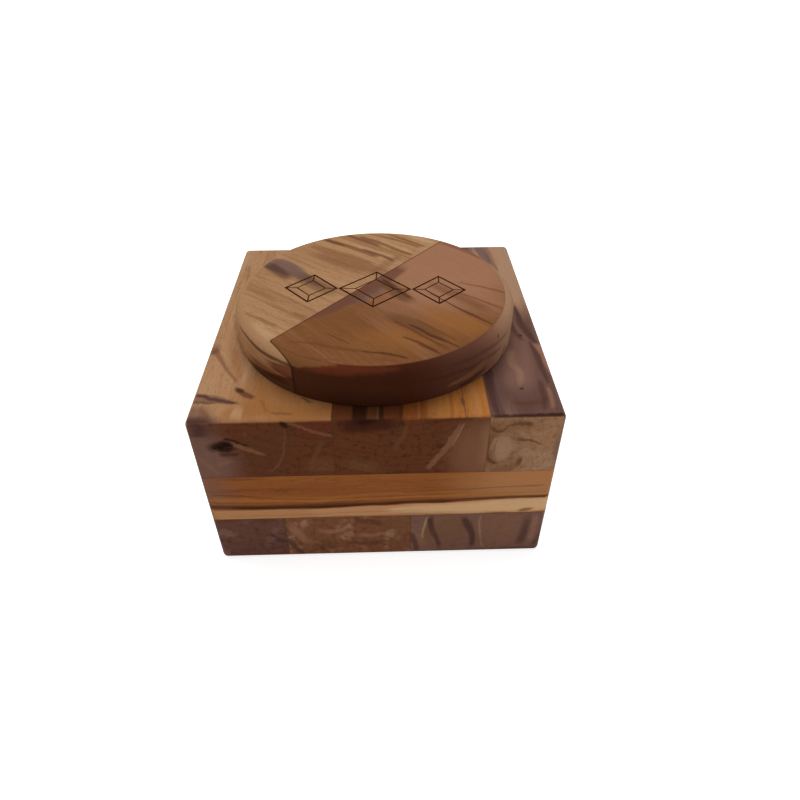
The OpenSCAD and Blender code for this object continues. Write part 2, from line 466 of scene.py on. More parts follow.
def cut_ornament(lid, middle, top, sizes):
    """Cuts a row of three faceted crystals, seen from above, into the top of the lid.

    Each crystal has its place along the row, half its width and half its height in millimetres.
    """
    depth = sizes.line_depth
    turn = Matrix.Rotation(sizes.row_turn, 3, "Z")
    for offset, half_width, half_height in CRYSTALS:
        centre = Vector((middle.x, middle.y, top)) + turn @ Vector((offset * MM, 0, 0))
        outer = Vector((half_width, half_height, 0)) * MM
        inner = outer * INNER_SHARE
        for size, line in ((outer, sizes.line_width), (inner, sizes.fine_width)):
            cut_away(lid, lozenge_cutter(centre, size.x, size.y, line, depth, sizes.row_turn))
        for side in (Vector((1, 0, 0)), Vector((0, 1, 0)), Vector((-1, 0, 0)), Vector((0, -1, 0))):
            start = centre + turn @ (side * inner * BAR_SHARE)
            end = centre + turn @ (side * outer * BAR_SHARE)
            cut_away(lid, bar_cutter(start, end, sizes.fine_width, depth))


def make_lid(scorched):
    """Builds the three boards of the lid and gives each its wood."""
    sizes = bpy.context.scene.salt_box_lid
    box = bpy.context.scene.salt_box_sizes
    lid, middle, top = turned_lid(sizes, box)
    cut_ornament(lid, middle, top, sizes)
    (long_point, long_across), (short_point, short_across) = lid_seams(sizes, box)
    cuts = {
        "lid_pale_board": ((long_point, long_across),),
        "lid_brown_board": ((long_point, -long_across), (short_point, short_across)),
        "lid_corner_board": ((long_point, -long_across), (short_point, -short_across)),
    }
    for node, planes in cuts.items():
        board = sawn_out(lid, node, planes)
        smooth(board)
        give_materials(board, dressed(node), scorched)
        for face in board.data.polygons:
            near = (face.center.xy - middle.xy).length < sizes.radius - 2 * sizes.rim_round
            sunk = top - 1.1 * sizes.line_depth < face.center.z < top - 0.05 * sizes.line_depth
            face.material_index = int(near and sunk)
        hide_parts(node)
        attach(board, "lid")
    bpy.data.objects.remove(lid)


def add(tree, kind, wires=None, **settings):
    """Adds a node, sets it, and wires or fills its inputs."""
    node = tree.nodes.new(kind)
    for key, value in settings.items():
        setattr(node, key, value)
    for socket, value in (wires or {}).items():
        if isinstance(value, bpy.types.NodeSocket):
            tree.links.new(value, node.inputs[socket])
        else:
            node.inputs[socket].default_value = value
    return node


def number(tree, operation, *values):
    """One step of arithmetic on numbers."""
    return add(tree, "ShaderNodeMath", dict(enumerate(values)), operation=operation).outputs[0]


def vector(tree, operation, *values):
    """One step of arithmetic on vectors."""
    node = add(tree, "ShaderNodeVectorMath", dict(enumerate(values)), operation=operation)
    return node.outputs["Value" if operation in ("DOT_PRODUCT", "LENGTH") else "Vector"]


def scaled(tree, source, factor):
    """A vector times a number."""
    return add(tree, "ShaderNodeVectorMath", {"Vector": source, "Scale": factor},
               operation="SCALE").outputs[0]


def ramp(tree, value, start, end, low=0.0, high=1.0, soft=True):
    """Maps a range of a number to another range, softly at both ends."""
    node = add(tree, "ShaderNodeMapRange", {0: value, 1: start, 2: end, 3: low, 4: high},
               interpolation_type="SMOOTHSTEP" if soft else "LINEAR")
    return node.outputs[0]


def blend(tree, factor, first, second):
    """Mixes two colours."""
    first, second = ((*c[:3], 1.0) if isinstance(c, tuple) else c for c in (first, second))
    return add(tree, "ShaderNodeMix", {0: factor, 6: first, 7: second}, data_type="RGBA").outputs[2]


def noise(tree, place, stretch, detail=2.0, rough=0.5, out="Fac"):
    """Noise on a place stretched by one scale for each axis, in turns per millimetre."""
    seat = vector(tree, "MULTIPLY", place, stretch)
    node = add(tree, "ShaderNodeTexNoise", {"Vector": seat, "Scale": 1.0, "Detail": detail,
                                            "Roughness": rough}, noise_dimensions="3D")
    return node.outputs[out]


def cells(tree, place, stretch):
    """Distance to the nearest of many scattered points, on a stretched place."""
    seat = vector(tree, "MULTIPLY", place, stretch)
    node = add(tree, "ShaderNodeTexVoronoi", {"Vector": seat, "Scale": 1.0, "Randomness": 1.0},
               voronoi_dimensions="3D", feature="F1")
    return node.outputs["Distance"]


def new_group(name, inputs, outputs):
    """An empty node group with the given sockets, and its input and output nodes."""
    tree = bpy.data.node_groups.new(name, "ShaderNodeTree")
    kinds = {"f": "NodeSocketFloat", "v": "NodeSocketVector", "c": "NodeSocketColor"}
    for label, kind in inputs:
        tree.interface.new_socket(name=label, in_out="INPUT", socket_type=kinds[kind])
    for label, kind in outputs:
        tree.interface.new_socket(name=label, in_out="OUTPUT", socket_type=kinds[kind])
    return tree, tree.nodes.new("NodeGroupInput").outputs


def close_group(tree, **results):
    """Wires the results of a node group to its output."""
    end = tree.nodes.new("NodeGroupOutput")
    for label, source in results.items():
        tree.links.new(source, end.inputs[label])


def group_place():
    """Where a point of the board is: in millimetres, along the grain, and which way it faces."""
    tree, given = new_group("Board place", (("Turn", "f"), ("Shift", "v")),
                            (("Place", "v"), ("Drift", "v"), ("Grain", "v"), ("End", "f"),
                             ("Up", "f"), ("Front", "f"), ("Rim", "f"), ("Skin", "f")))
    seat = tree.nodes.new("ShaderNodeTexCoord")
    place = scaled(tree, seat.outputs["Object"], 1 / MM)
    back = number(tree, "MULTIPLY", given["Turn"], -1.0)
    straight = add(tree, "ShaderNodeVectorRotate", {"Vector": place, "Angle": back},
                   rotation_type="Z_AXIS").outputs[0]
    wide = vector(tree, "SUBTRACT", noise(tree, straight, (0.02, 0.06, 0.06), 1.0, out="Color"),
                  (0.5, 0.5, 0.5))
    fine = vector(tree, "SUBTRACT", noise(tree, straight, (0.09, 0.55, 0.55), 2.0, out="Color"),
                  (0.5, 0.5, 0.5))
    drift = vector(tree, "ADD", vector(tree, "ADD", place, scaled(tree, wide, 3.0)), scaled(tree, fine, 1.1))
    turned = add(tree, "ShaderNodeVectorRotate", {"Vector": drift, "Angle": back}, rotation_type="Z_AXIS")
    grain = vector(tree, "ADD", turned.outputs[0], given["Shift"])
    facing = seat.outputs["Normal"]
    away = add(tree, "ShaderNodeVectorRotate", {"Vector": facing, "Angle": back}, rotation_type="Z_AXIS")
    along = number(tree, "ABSOLUTE", vector(tree, "DOT_PRODUCT", away.outputs[0], (1, 0, 0)))
    close_group(tree, Place=place, Drift=drift, Grain=grain,
                End=ramp(tree, along, 0.55, 0.85),
                Up=ramp(tree, vector(tree, "DOT_PRODUCT", facing, (0, 0, 1)), 0.5, 0.8),
                Front=ramp(tree, vector(tree, "DOT_PRODUCT", facing, (0, -1, 0)), 0.5, 0.8),
                Rim=ramp(tree, number(tree, "ABSOLUTE", vector(tree, "DOT_PRODUCT", facing, (0, 0, 1))),
                         0.993, 0.955),
                Skin=ramp(tree, vector(tree, "DOT_PRODUCT", place, (0, 1, 0)),
                          FRONT / MM + 4, FRONT / MM + 2))


def group_long_grain():
    """Wood cut along the grain: broad bands, growth lines, fibres and short dark pores."""
    tree, given = new_group("Long grain", (("Grain", "v"), ("Ground", "c"), ("Light", "c"), ("Dark", "c"),
                                           ("Bands", "f"), ("Lines", "f")),
                            (("Colour", "c"), ("Relief", "f")))
    grain = given["Grain"]
    broad = noise(tree, grain, (0.011, 0.17, 0.12), 3.0, 0.55)
    light = number(tree, "MULTIPLY", ramp(tree, broad, 0.5, 0.72), given["Bands"])
    colour = blend(tree, light, given["Ground"], given["Light"])
    dark = number(tree, "MULTIPLY", ramp(tree, broad, 0.5, 0.3), given["Bands"])
    colour = blend(tree, dark, colour, given["Dark"])
    growth = noise(tree, grain, (0.012, 0.75, 0.5), 3.0, 0.6)
    lines = number(tree, "MULTIPLY", ramp(tree, growth, 0.52, 0.7), given["Lines"])
    colour = blend(tree, lines, colour, given["Dark"])
    fibre = noise(tree, grain, (0.07, 3.0, 3.0), 2.0)
    shade = ramp(tree, fibre, 0.25, 0.75, 0.9, 1.1, False)
    toned = add(tree, "ShaderNodeHueSaturation", {"Color": colour, "Value": shade}).outputs[0]
    pores = ramp(tree, cells(tree, grain, (0.24, 2.4, 2.4)), 0.3, 0.16)
    patchy = number(tree, "MULTIPLY", pores, ramp(tree, growth, 0.4, 0.6, 0.12, 0.5))
    close_group(tree, Colour=blend(tree, patchy, toned, given["Dark"]),
                Relief=number(tree, "SUBTRACT", number(tree, "MULTIPLY", fibre, 0.4), patchy))


def group_end_grain():
    """Wood cut across the grain: rings about a heart, mottled shades and round pores."""
    tree, given = new_group("End grain", (("Grain", "v"), ("Heart", "v"), ("Spacing", "f"), ("Ground", "c"),
                                          ("Light", "c"), ("Dark", "c"), ("Rings", "f")),
                            (("Colour", "c"), ("Relief", "f")))
    grain = given["Grain"]
    cloud = noise(tree, grain, (0.03, 0.13, 0.13), 3.0, 0.6)
    across = vector(tree, "MULTIPLY", vector(tree, "SUBTRACT", grain, given["Heart"]), (0, 1, 1))
    reach = number(tree, "MULTIPLY_ADD", cloud, 5.0, vector(tree, "LENGTH", across))
    phase = number(tree, "FRACT", number(tree, "DIVIDE", reach, given["Spacing"]))
    early = ramp(tree, phase, 0.0, 0.32, 1.0, 0.0)
    light = ramp(tree, cloud, 0.5, 0.68)
    colour = blend(tree, light, given["Ground"], given["Light"])
    mottle = noise(tree, grain, (0.1, 0.55, 0.55), 4.0, 0.65)
    colour = blend(tree, ramp(tree, mottle, 0.5, 0.3, 0.0, 0.7), colour, given["Dark"])
    colour = blend(tree, number(tree, "MULTIPLY", early, given["Rings"]), colour, given["Dark"])
    speck = ramp(tree, cells(tree, grain, (0.1, 1.7, 1.7)), 0.3, 0.16)
    patchy = number(tree, "MULTIPLY", speck, number(tree, "MULTIPLY_ADD", early, 0.4, 0.25))
    close_group(tree, Colour=blend(tree, patchy, colour, given["Dark"]),
                Relief=number(tree, "SUBTRACT", number(tree, "MULTIPLY", mottle, 0.3), patchy))


def group_brush():
    """One brush stroke: full inside the half width either side of a curve, soft at its edges and ends."""
    tree, given = new_group("Brush", (("Along", "f"), ("Across", "f"), ("Curve", "c"), ("Low", "f"),
                                      ("Span", "f"), ("Widest", "f"), ("Soft", "f"), ("Taper", "f")),
                            (("Mask", "f"),))
    curve = add(tree, "ShaderNodeSeparateColor", {0: given["Curve"]}).outputs
    middle = number(tree, "MULTIPLY_ADD", curve[0], given["Span"], given["Low"])
    half = number(tree, "MULTIPLY", curve[1], given["Widest"])
    away = number(tree, "ABSOLUTE", number(tree, "SUBTRACT", given["Across"], middle))
    body = ramp(tree, number(tree, "DIVIDE", number(tree, "SUBTRACT", half, away), given["Soft"]), -0.5, 0.5)
    ends = number(tree, "MINIMUM", given["Along"], number(tree, "SUBTRACT", 1.0, given["Along"]))
    tips = ramp(tree, number(tree, "MULTIPLY", ends, given["Taper"]), 0.0, 1.0)
    close_group(tree, Mask=number(tree, "MULTIPLY", body, tips))


def group_spot():
    """One oval patch with a ragged edge."""
    tree, given = new_group("Spot", (("Point", "v"), ("Centre", "v"), ("Size", "v"), ("Turn", "f"),
                                     ("Soft", "f")), (("Mask", "f"),))
    offset = vector(tree, "SUBTRACT", given["Point"], given["Centre"])
    turned = add(tree, "ShaderNodeVectorRotate", {"Vector": offset, "Angle": given["Turn"]},
                 rotation_type="Z_AXIS").outputs[0]
    reach = vector(tree, "LENGTH", vector(tree, "DIVIDE", turned, given["Size"]))
    inner = number(tree, "SUBTRACT", 1.0, given["Soft"])
    outer = number(tree, "ADD", 1.0, given["Soft"])
    close_group(tree, Mask=ramp(tree, reach, outer, inner))


class Face:
    """One side of a board, with its marks laid along x and up another axis, in millimetres.

    A board's up, front and rim are told apart by the way that the surface faces, and its skin by how
    near the surface lies to the front of the box.
    """

    def __init__(self, wood, part, up):
        self.wood = wood
        self.part = part
        self.side = Vector((1, 0, 0))
        self.up = Vector(up)

    def lay(self, stain, mask, strength):
        """Puts a stain on this face where the mask says."""
        wood = self.wood
        limit = number(wood.tree, "MULTIPLY", wood.seat[self.part], strength)
        factor = number(wood.tree, "MULTIPLY", mask, limit)
        wood.colour = blend(wood.tree, factor, wood.colour, wood.stain(stain))

    def reach(self, way):
        """How far a point of the drifting grain lies in a direction."""
        return vector(self.wood.tree, "DOT_PRODUCT", self.wood.seat["Drift"], way)

    def stroke(self, stain, strength, soft, *points):
        """A streak through points of along, up and half width."""
        tree = self.wood.tree
        start, end = Vector(points[0][:2]), Vector(points[-1][:2])
        run = (end - start).normalized()
        square = Vector((-run.y, run.x))
        offsets = [Vector(point[:2]) - start for point in points]
        runs = [offset.dot(run) for offset in offsets]
        bends = [offset.dot(square) for offset in offsets]
        halves = [point[2] for point in points]
        length, low, widest = runs[-1], min(bends), max(halves)
        span = max(max(bends) - low, 0.01)
        along = number(tree, "SUBTRACT", self.reach((self.side * run.x + self.up * run.y) / length),
                       start.dot(run) / length)
        across = number(tree, "SUBTRACT", self.reach(self.side * square.x + self.up * square.y),
                        start.dot(square))
        curve = tree.nodes.new("ShaderNodeRGBCurve")
        tree.links.new(along, curve.inputs["Color"])
        bends = [(bend - low) / span for bend in bends]
        halves = [half / widest for half in halves]
        for line, values in zip(curve.mapping.curves, (bends, halves)):
            line.points[0].location = (0, values[0])
            line.points[1].location = (1, values[-1])
            for run_to, value in list(zip(runs, values))[1:-1]:
                line.points.new(run_to / length, value)
        curve.mapping.update()
        mask = self.wood.group("Brush", Along=along, Across=across, Curve=curve.outputs["Color"], Low=low,
                               Span=span, Widest=widest, Soft=soft, Taper=length / (1.5 * soft + widest))
        self.lay(stain, mask["Mask"], strength)

    def spot(self, stain, strength, soft, centre, size, turn=0.0):
        """An oval patch with its centre, half sizes and turn in degrees."""
        flat = add(self.wood.tree, "ShaderNodeCombineXYZ",
                   {0: self.reach(self.side), 1: self.reach(self.up)}).outputs[0]
        mask = self.wood.group("Spot", Point=flat, Centre=(*centre, 0), Size=(*size, 1),
                               Turn=math.radians(-turn), Soft=soft)
        self.lay(stain, mask["Mask"], strength)


class Wood:
    """The node tree of one board, built up from its ground colours in the marks on its faces."""

    def __init__(self, name, turn, shift):
        self.stains = bpy.context.scene.salt_box_stains
        self.material = bpy.data.materials.new(name)
        self.material.use_nodes = True
        self.tree = self.material.node_tree
        self.tree.nodes.clear()
        self.seat = self.group("Board place", Turn=math.radians(turn), Shift=shift)
        self.colour = None
        self.relief = None
        self.up = Face(self, "Up", (0, 1, 0))
        self.front = Face(self, "Front", (0, 0, 1))
        self.rim = Face(self, "Rim", (0, 0, 1))
        self.skin = Face(self, "Skin", (0, 0, 1))

    def stain(self, name):
        """One of the wood colours, as a shader takes it."""
        return (*getattr(self.stains, name), 1.0)

    def group(self, name, **wires):
        """Adds one of the grain's node groups."""
        return add(self.tree, "ShaderNodeGroup", wires, node_tree=bpy.data.node_groups[name]).outputs

    def ground(self, long, end, bands=0.8, lines=0.6, heart=(0, 30, 30), spacing=3.2, rings=0.5):
        """Lays the grain: three stains along it, three across it."""
        plain = self.group("Long grain", Grain=self.seat["Grain"], Ground=self.stain(long[0]),
                           Light=self.stain(long[1]), Dark=self.stain(long[2]), Bands=bands, Lines=lines)
        across = self.group("End grain", Grain=self.seat["Grain"], Heart=heart, Spacing=spacing,
                            Ground=self.stain(end[0]), Light=self.stain(end[1]), Dark=self.stain(end[2]),
                            Rings=rings)
        self.colour = blend(self.tree, self.seat["End"], plain["Colour"], across["Colour"])
        mix = add(self.tree, "ShaderNodeMix", {0: self.seat["End"], 2: plain["Relief"], 3: across["Relief"]},
                  data_type="FLOAT")
        self.relief = mix.outputs[0]

    def glue(self, planes, width=0.28, strength=0.4, beyond=None):
        """Darkens the glue lines to the neighbours, only beyond a plane if one is given."""
        near = None
        for point, direction in planes:
            direction = Vector(direction)
            reach = vector(self.tree, "DOT_PRODUCT", self.seat["Place"], direction)
            away = number(self.tree, "ABSOLUTE", number(self.tree, "SUBTRACT", reach,
                                                        Vector(point).dot(direction) / MM))
            near = away if near is None else number(self.tree, "MINIMUM", near, away)
        line = ramp(self.tree, near, width, 0.06, 0.0, strength)
        if beyond:
            point, direction = beyond
            reach = vector(self.tree, "DOT_PRODUCT", self.seat["Place"], direction)
            start = Vector(point).dot(direction) / MM
            line = number(self.tree, "MULTIPLY", line, ramp(self.tree, reach, start - 0.3, start + 0.3))
        self.colour = blend(self.tree, line, self.colour, self.stain("glue"))

    def finish(self, sheen=0.5, gloss=0.02):
        """Oiled, lightly sanded surface with pores that can be felt."""
        rough = ramp(self.tree, self.relief, -0.6, 0.5, sheen + 0.12, sheen - 0.04, False)
        bump = add(self.tree, "ShaderNodeBump", {"Strength": 0.35, "Distance": 0.00004,
                                                 "Height": self.relief})
        shade = ramp(self.tree, self.relief, 0.0, 0.36, 0.9, 1.08, False)
        toned = add(self.tree, "ShaderNodeHueSaturation", {"Color": self.colour, "Value": shade}).outputs[0]
        shader = add(self.tree, "ShaderNodeBsdfPrincipled", {
            "Base Color": toned, "Roughness": rough, "Specular IOR Level": gloss,
            "Normal": bump.outputs[0]})
        add(self.tree, "ShaderNodeOutputMaterial", {0: shader.outputs[0]})
        return self.material


def top_left_wood(node):
    """Pale tan block with golden wood in front, dark figure lines, two small knots and painted shadow beside
    the lid.
    """
    wood = Wood(node, 90, (0, 0, 0))
    up, front, skin = wood.up, wood.front, wood.skin
    wood.ground(("tan", "straw", "rust"), ("end_brown", "umber", "bark"), 0.35, 0.22, (0, 20, 95), 4, 0.3)
    up.spot("honey", 0.8, 0.5, (-24, -50), (22, 14))
    up.stroke("honey", 0.7, 3, (-53, -57.5, 1.5), (-45.9, -56.2, 2.6), (-38.3, -53.4, 3), (-27, -56, 2.6),
              (-8, -56, 4))
    up.stroke("honey", 0.55, 3, (-41.4, -28, 1), (-38.1, -43.6, 1.8), (-34.4, -55, 1.4))
    up.stroke("honey", 0.5, 1.8, (-51.6, -17, 0.8), (-50.6, -24, 1.2), (-48.4, -33, 1.3), (-46.7, -40, 0.8))
    up.stroke("straw", 0.55, 1.2, (-43.6, -59.6, 1.9), (-44, -54, 1.3), (-42.6, -50.4, 0.5))
    # Painted shadow: the two soft rust streaks below lie along the lid's left side and stand in for the
    # shade that the lid casts there.
    up.stroke("rust", 0.35, 2, (-56.6, 46, 0.4), (-55.6, 41.5, 1), (-52.6, 22.5, 1.2), (-50.8, 14, 0.5))
    up.stroke("rust", 0.45, 2.4, (-54.6, 6, 0.5), (-52, -9, 0.8), (-49.3, -17.3, 1.1), (-46.1, -27, 0.9))
    up.stroke("rust", 0.65, 1.2, (-60, -19, 1), (-57.4, -22.6, 1.2), (-53.9, -28.9, 0.7),
              (-49.5, -36.3, 0.5), (-46.6, -41, 0.5))
    up.spot("plum", 0.45, 0.6, (-59.4, -20.8), (2.4, 3.2), -30)
    up.stroke("umber", 0.85, 1.2, (-47.4, -42.4, 0.5), (-45, -44.4, 1.1), (-42.5, -46.4, 1.1),
              (-38.4, -48.2, 0.8))
    up.spot("coal", 0.7, 0.6, (-45.4, -43.8), (1.9, 0.9), -35)
    up.stroke("mauve", 0.7, 1.2, (-62, -47.2, 2.2), (-57.8, -47.5, 2.2), (-51.3, -48.9, 1.6),
              (-46.6, -50.2, 0.9), (-42.6, -50.8, 0.3))
    up.stroke("plum", 0.8, 0.8, (-60.4, -45.9, 0.8), (-57.6, -46.4, 0.7), (-53.4, -48.4, 0.8),
              (-47, -50.2, 0.6), (-44, -50.6, 0.3))
    up.stroke("plum", 0.6, 0.8, (-60.4, -49.8, 0.6), (-56.4, -50, 0.6), (-51.4, -50.7, 0.3))
    up.stroke("rust", 0.5, 1.4, (-57.6, -52.4, 0.4), (-54.6, -55, 0.9), (-52, -59, 0.7))
    up.spot("mauve", 0.7, 0.5, (-59, -57), (6.5, 5.5), 20)
    up.spot("plum", 0.85, 0.45, (-57.5, -60.4), (8, 3.4), 8)
    up.stroke("rust", 0.4, 0.9, (-37.6, -48, 0.3), (-36, -52, 0.5), (-34, -55.4, 0.4))
    up.stroke("rust", 0.6, 0.9, (-34.4, -54.6, 0.3), (-30, -55.8, 0.6), (-25.4, -55.4, 0.3))
    up.stroke("bark", 0.6, 0.8, (-24.8, -47.4, 0.3), (-20.6, -51.6, 0.5))
    front.spot("end_grey", 0.85, 0.6, (-57, 52), (10, 16), 10)
    front.spot("umber", 0.4, 0.7, (-36, 56), (9, 12), -20)
    front.spot("brick", 0.6, 0.6, (-18, 66.6), (6.5, 2.4))
    front.stroke("plum", 0.8, 1.8, (-61.5, 66.6, 3.2), (-56, 65.8, 2.8), (-50, 64.6, 1))
    front.stroke("rust", 0.5, 1.4, (-52, 66.9, 0.8), (-44, 67.2, 0.7))
    front.stroke("end_light", 0.5, 1.1, (-60.4, 56.4, 0.4), (-58.8, 54, 0.6), (-56, 49.8, 0.8),
                 (-52.3, 44.8, 0.7))
    front.stroke("end_light", 0.5, 1.3, (-54, 49.4, 0.5), (-50.4, 50.9, 0.9), (-46.8, 52.1, 0.4))
    front.stroke("bark", 0.7, 1, (-52.6, 55.2, 0.6), (-48.4, 54.7, 0.8), (-44.4, 55.4, 0.3))
    skin.spot("coal", 0.8, 0.4, (-49.6, 58.2), (4.6, 2.3), 6)
    front.stroke("coal", 0.8, 1.1, (-54.2, 59.4, 0.3), (-52, 58.4, 1), (-49.5, 57.6, 1.9),
                 (-46.8, 57.4, 1.4), (-44.6, 58, 0.4))
    front.stroke("coal", 0.8, 0.7, (-49.5, 60.2, 0.5), (-46.6, 61.1, 0.6), (-44, 59.7, 0.4), (-41, 58, 0.3))
    front.stroke("end_light", 0.55, 1.1, (-47.6, 59.9, 0.5), (-45, 58.4, 0.9), (-40.9, 56, 0.8),
                 (-36, 53.4, 0.4))
    front.stroke("rust", 0.8, 0.7, (-41.4, 65, 0.2), (-41.7, 63.2, 0.5), (-42, 61.4, 0.2))
    front.stroke("rust", 0.8, 0.6, (-29, 65.2, 0.2), (-29.6, 62, 0.3), (-30.7, 57.2, 0.35), (-32, 51.6, 0.4),
                 (-34.4, 48.2, 0.5), (-37.5, 46.2, 0.3))
    front.stroke("coal", 0.8, 0.8, (-31, 68.6, 0.5), (-28.6, 66.4, 0.8), (-26.6, 65.6, 0.3))
    front.stroke("end_light", 0.45, 0.8, (-28.4, 67.6, 0.3), (-24.5, 66.2, 0.5), (-20, 64.2, 0.5),
                 (-13.6, 62, 0.5))
    front.stroke("brick", 0.7, 0.9, (-27, 65.2, 0.3), (-22.1, 63, 0.6), (-16.2, 61, 0.6), (-13.6, 60.4, 0.4))
    front.stroke("rust", 0.5, 1.2, (-16.8, 60.4, 0.4), (-19.6, 54.7, 0.8), (-22.6, 48.3, 0.5))
    front.spot("end_olive", 0.4, 0.8, (-18.4, 48), (4.5, 3))
    wood.glue(glued_faces(node))
    return wood.finish()


def top_centre_wood(node):
    """Amber and gold block with nearly black streaks along its left half."""
    wood = Wood(node, 90, (0, 11, 7))
    up, front = wood.up, wood.front
    wood.ground(("gold", "honey", "amber"), ("end_brown", "umber", "bark"), 0.35, 0.35, (0, 2, 110), 4.4,
                0.3)
    streaks = (
        ("amber", 0.85, 4, 12, 4.5), ("bark", 0.85, 1.2, -3.8, 12.2), ("brick", 0.55, 1.2, -11.4, 1.4),
        ("brick", 0.45, 1.5, 4.4, 1.8), ("coal", 0.8, 1.4, -5.8, 2.3), ("coal", 0.65, 0.8, 1.4, 0.8),
        ("mauve", 0.7, 0.5, 0.2, 0.3), ("straw", 0.14, 0.6, 13, 0.3), ("straw", 0.14, 0.6, 19.9, 0.4),
        ("amber", 0.4, 1, 23, 0.5), ("rust", 0.7, 0.5, 27.2, 0.25), ("straw", 0.12, 1.4, 31, 1.4),
        ("honey", 0.5, 3, 18.5, 3),
    )
    for name, strength, soft, across, half in streaks:
        up.stroke(name, strength, soft, (across, -100, half), (across + 0.5, -30, half),
                  (across - 0.6, 10, half), (across, 100, half))
    up.spot("rust", 0.75, 0.5, (27.4, -52), (0.7, 2.2), 6)
    front.stroke("bark", 0.9, 3, (-16, 67.2, 3.4), (-3, 66.8, 3.8), (6, 67, 3), (11, 67.8, 0.6))
    front.stroke("coal", 0.75, 2, (-9, 68.4, 1.2), (-5, 67.8, 2.2), (0, 68, 1.4), (3, 68.6, 0.5))
    front.stroke("end_olive", 0.4, 3, (-14.2, 49.4, 2.2), (-8, 48.6, 2.6), (-1, 47.5, 1.8), (4, 46.8, 0.6))
    front.spot("rust", 0.75, 0.7, (34, 55), (9, 15))
    front.spot("end_light", 0.55, 0.7, (32, 53), (8, 12))
    front.stroke("end_tan", 0.35, 4, (36, 42, 2), (36, 70, 2))
    front.stroke("rust", 0.55, 1.2, (10.2, 67, 0.4), (8.9, 62, 0.8), (6.8, 57.8, 0.6), (5.6, 53.6, 0.3))
    front.stroke("end_light", 0.6, 0.8, (26, 67.2, 1.1), (24.2, 60, 1.1), (21.6, 55, 1), (18.8, 50.2, 1),
                 (16.2, 45, 0.9))
    front.stroke("end_tan", 0.4, 0.5, (27.4, 67, 0.25), (25.8, 61.2, 0.3), (23.9, 56.1, 0.2))
    front.stroke("umber", 0.6, 0.5, (24, 66.4, 0.2), (22.8, 61, 0.3), (20.6, 55.8, 0.2))
    front.spot("bark", 0.6, 0.5, (20.2, 56.8), (1.5, 0.9), 20)
    front.stroke("bark", 0.5, 1.3, (10, 68.2, 0.4), (23, 68.4, 0.7), (36, 68.3, 0.5))
    wood.glue(glued_faces(node), strength=0.22)
    return wood.finish()


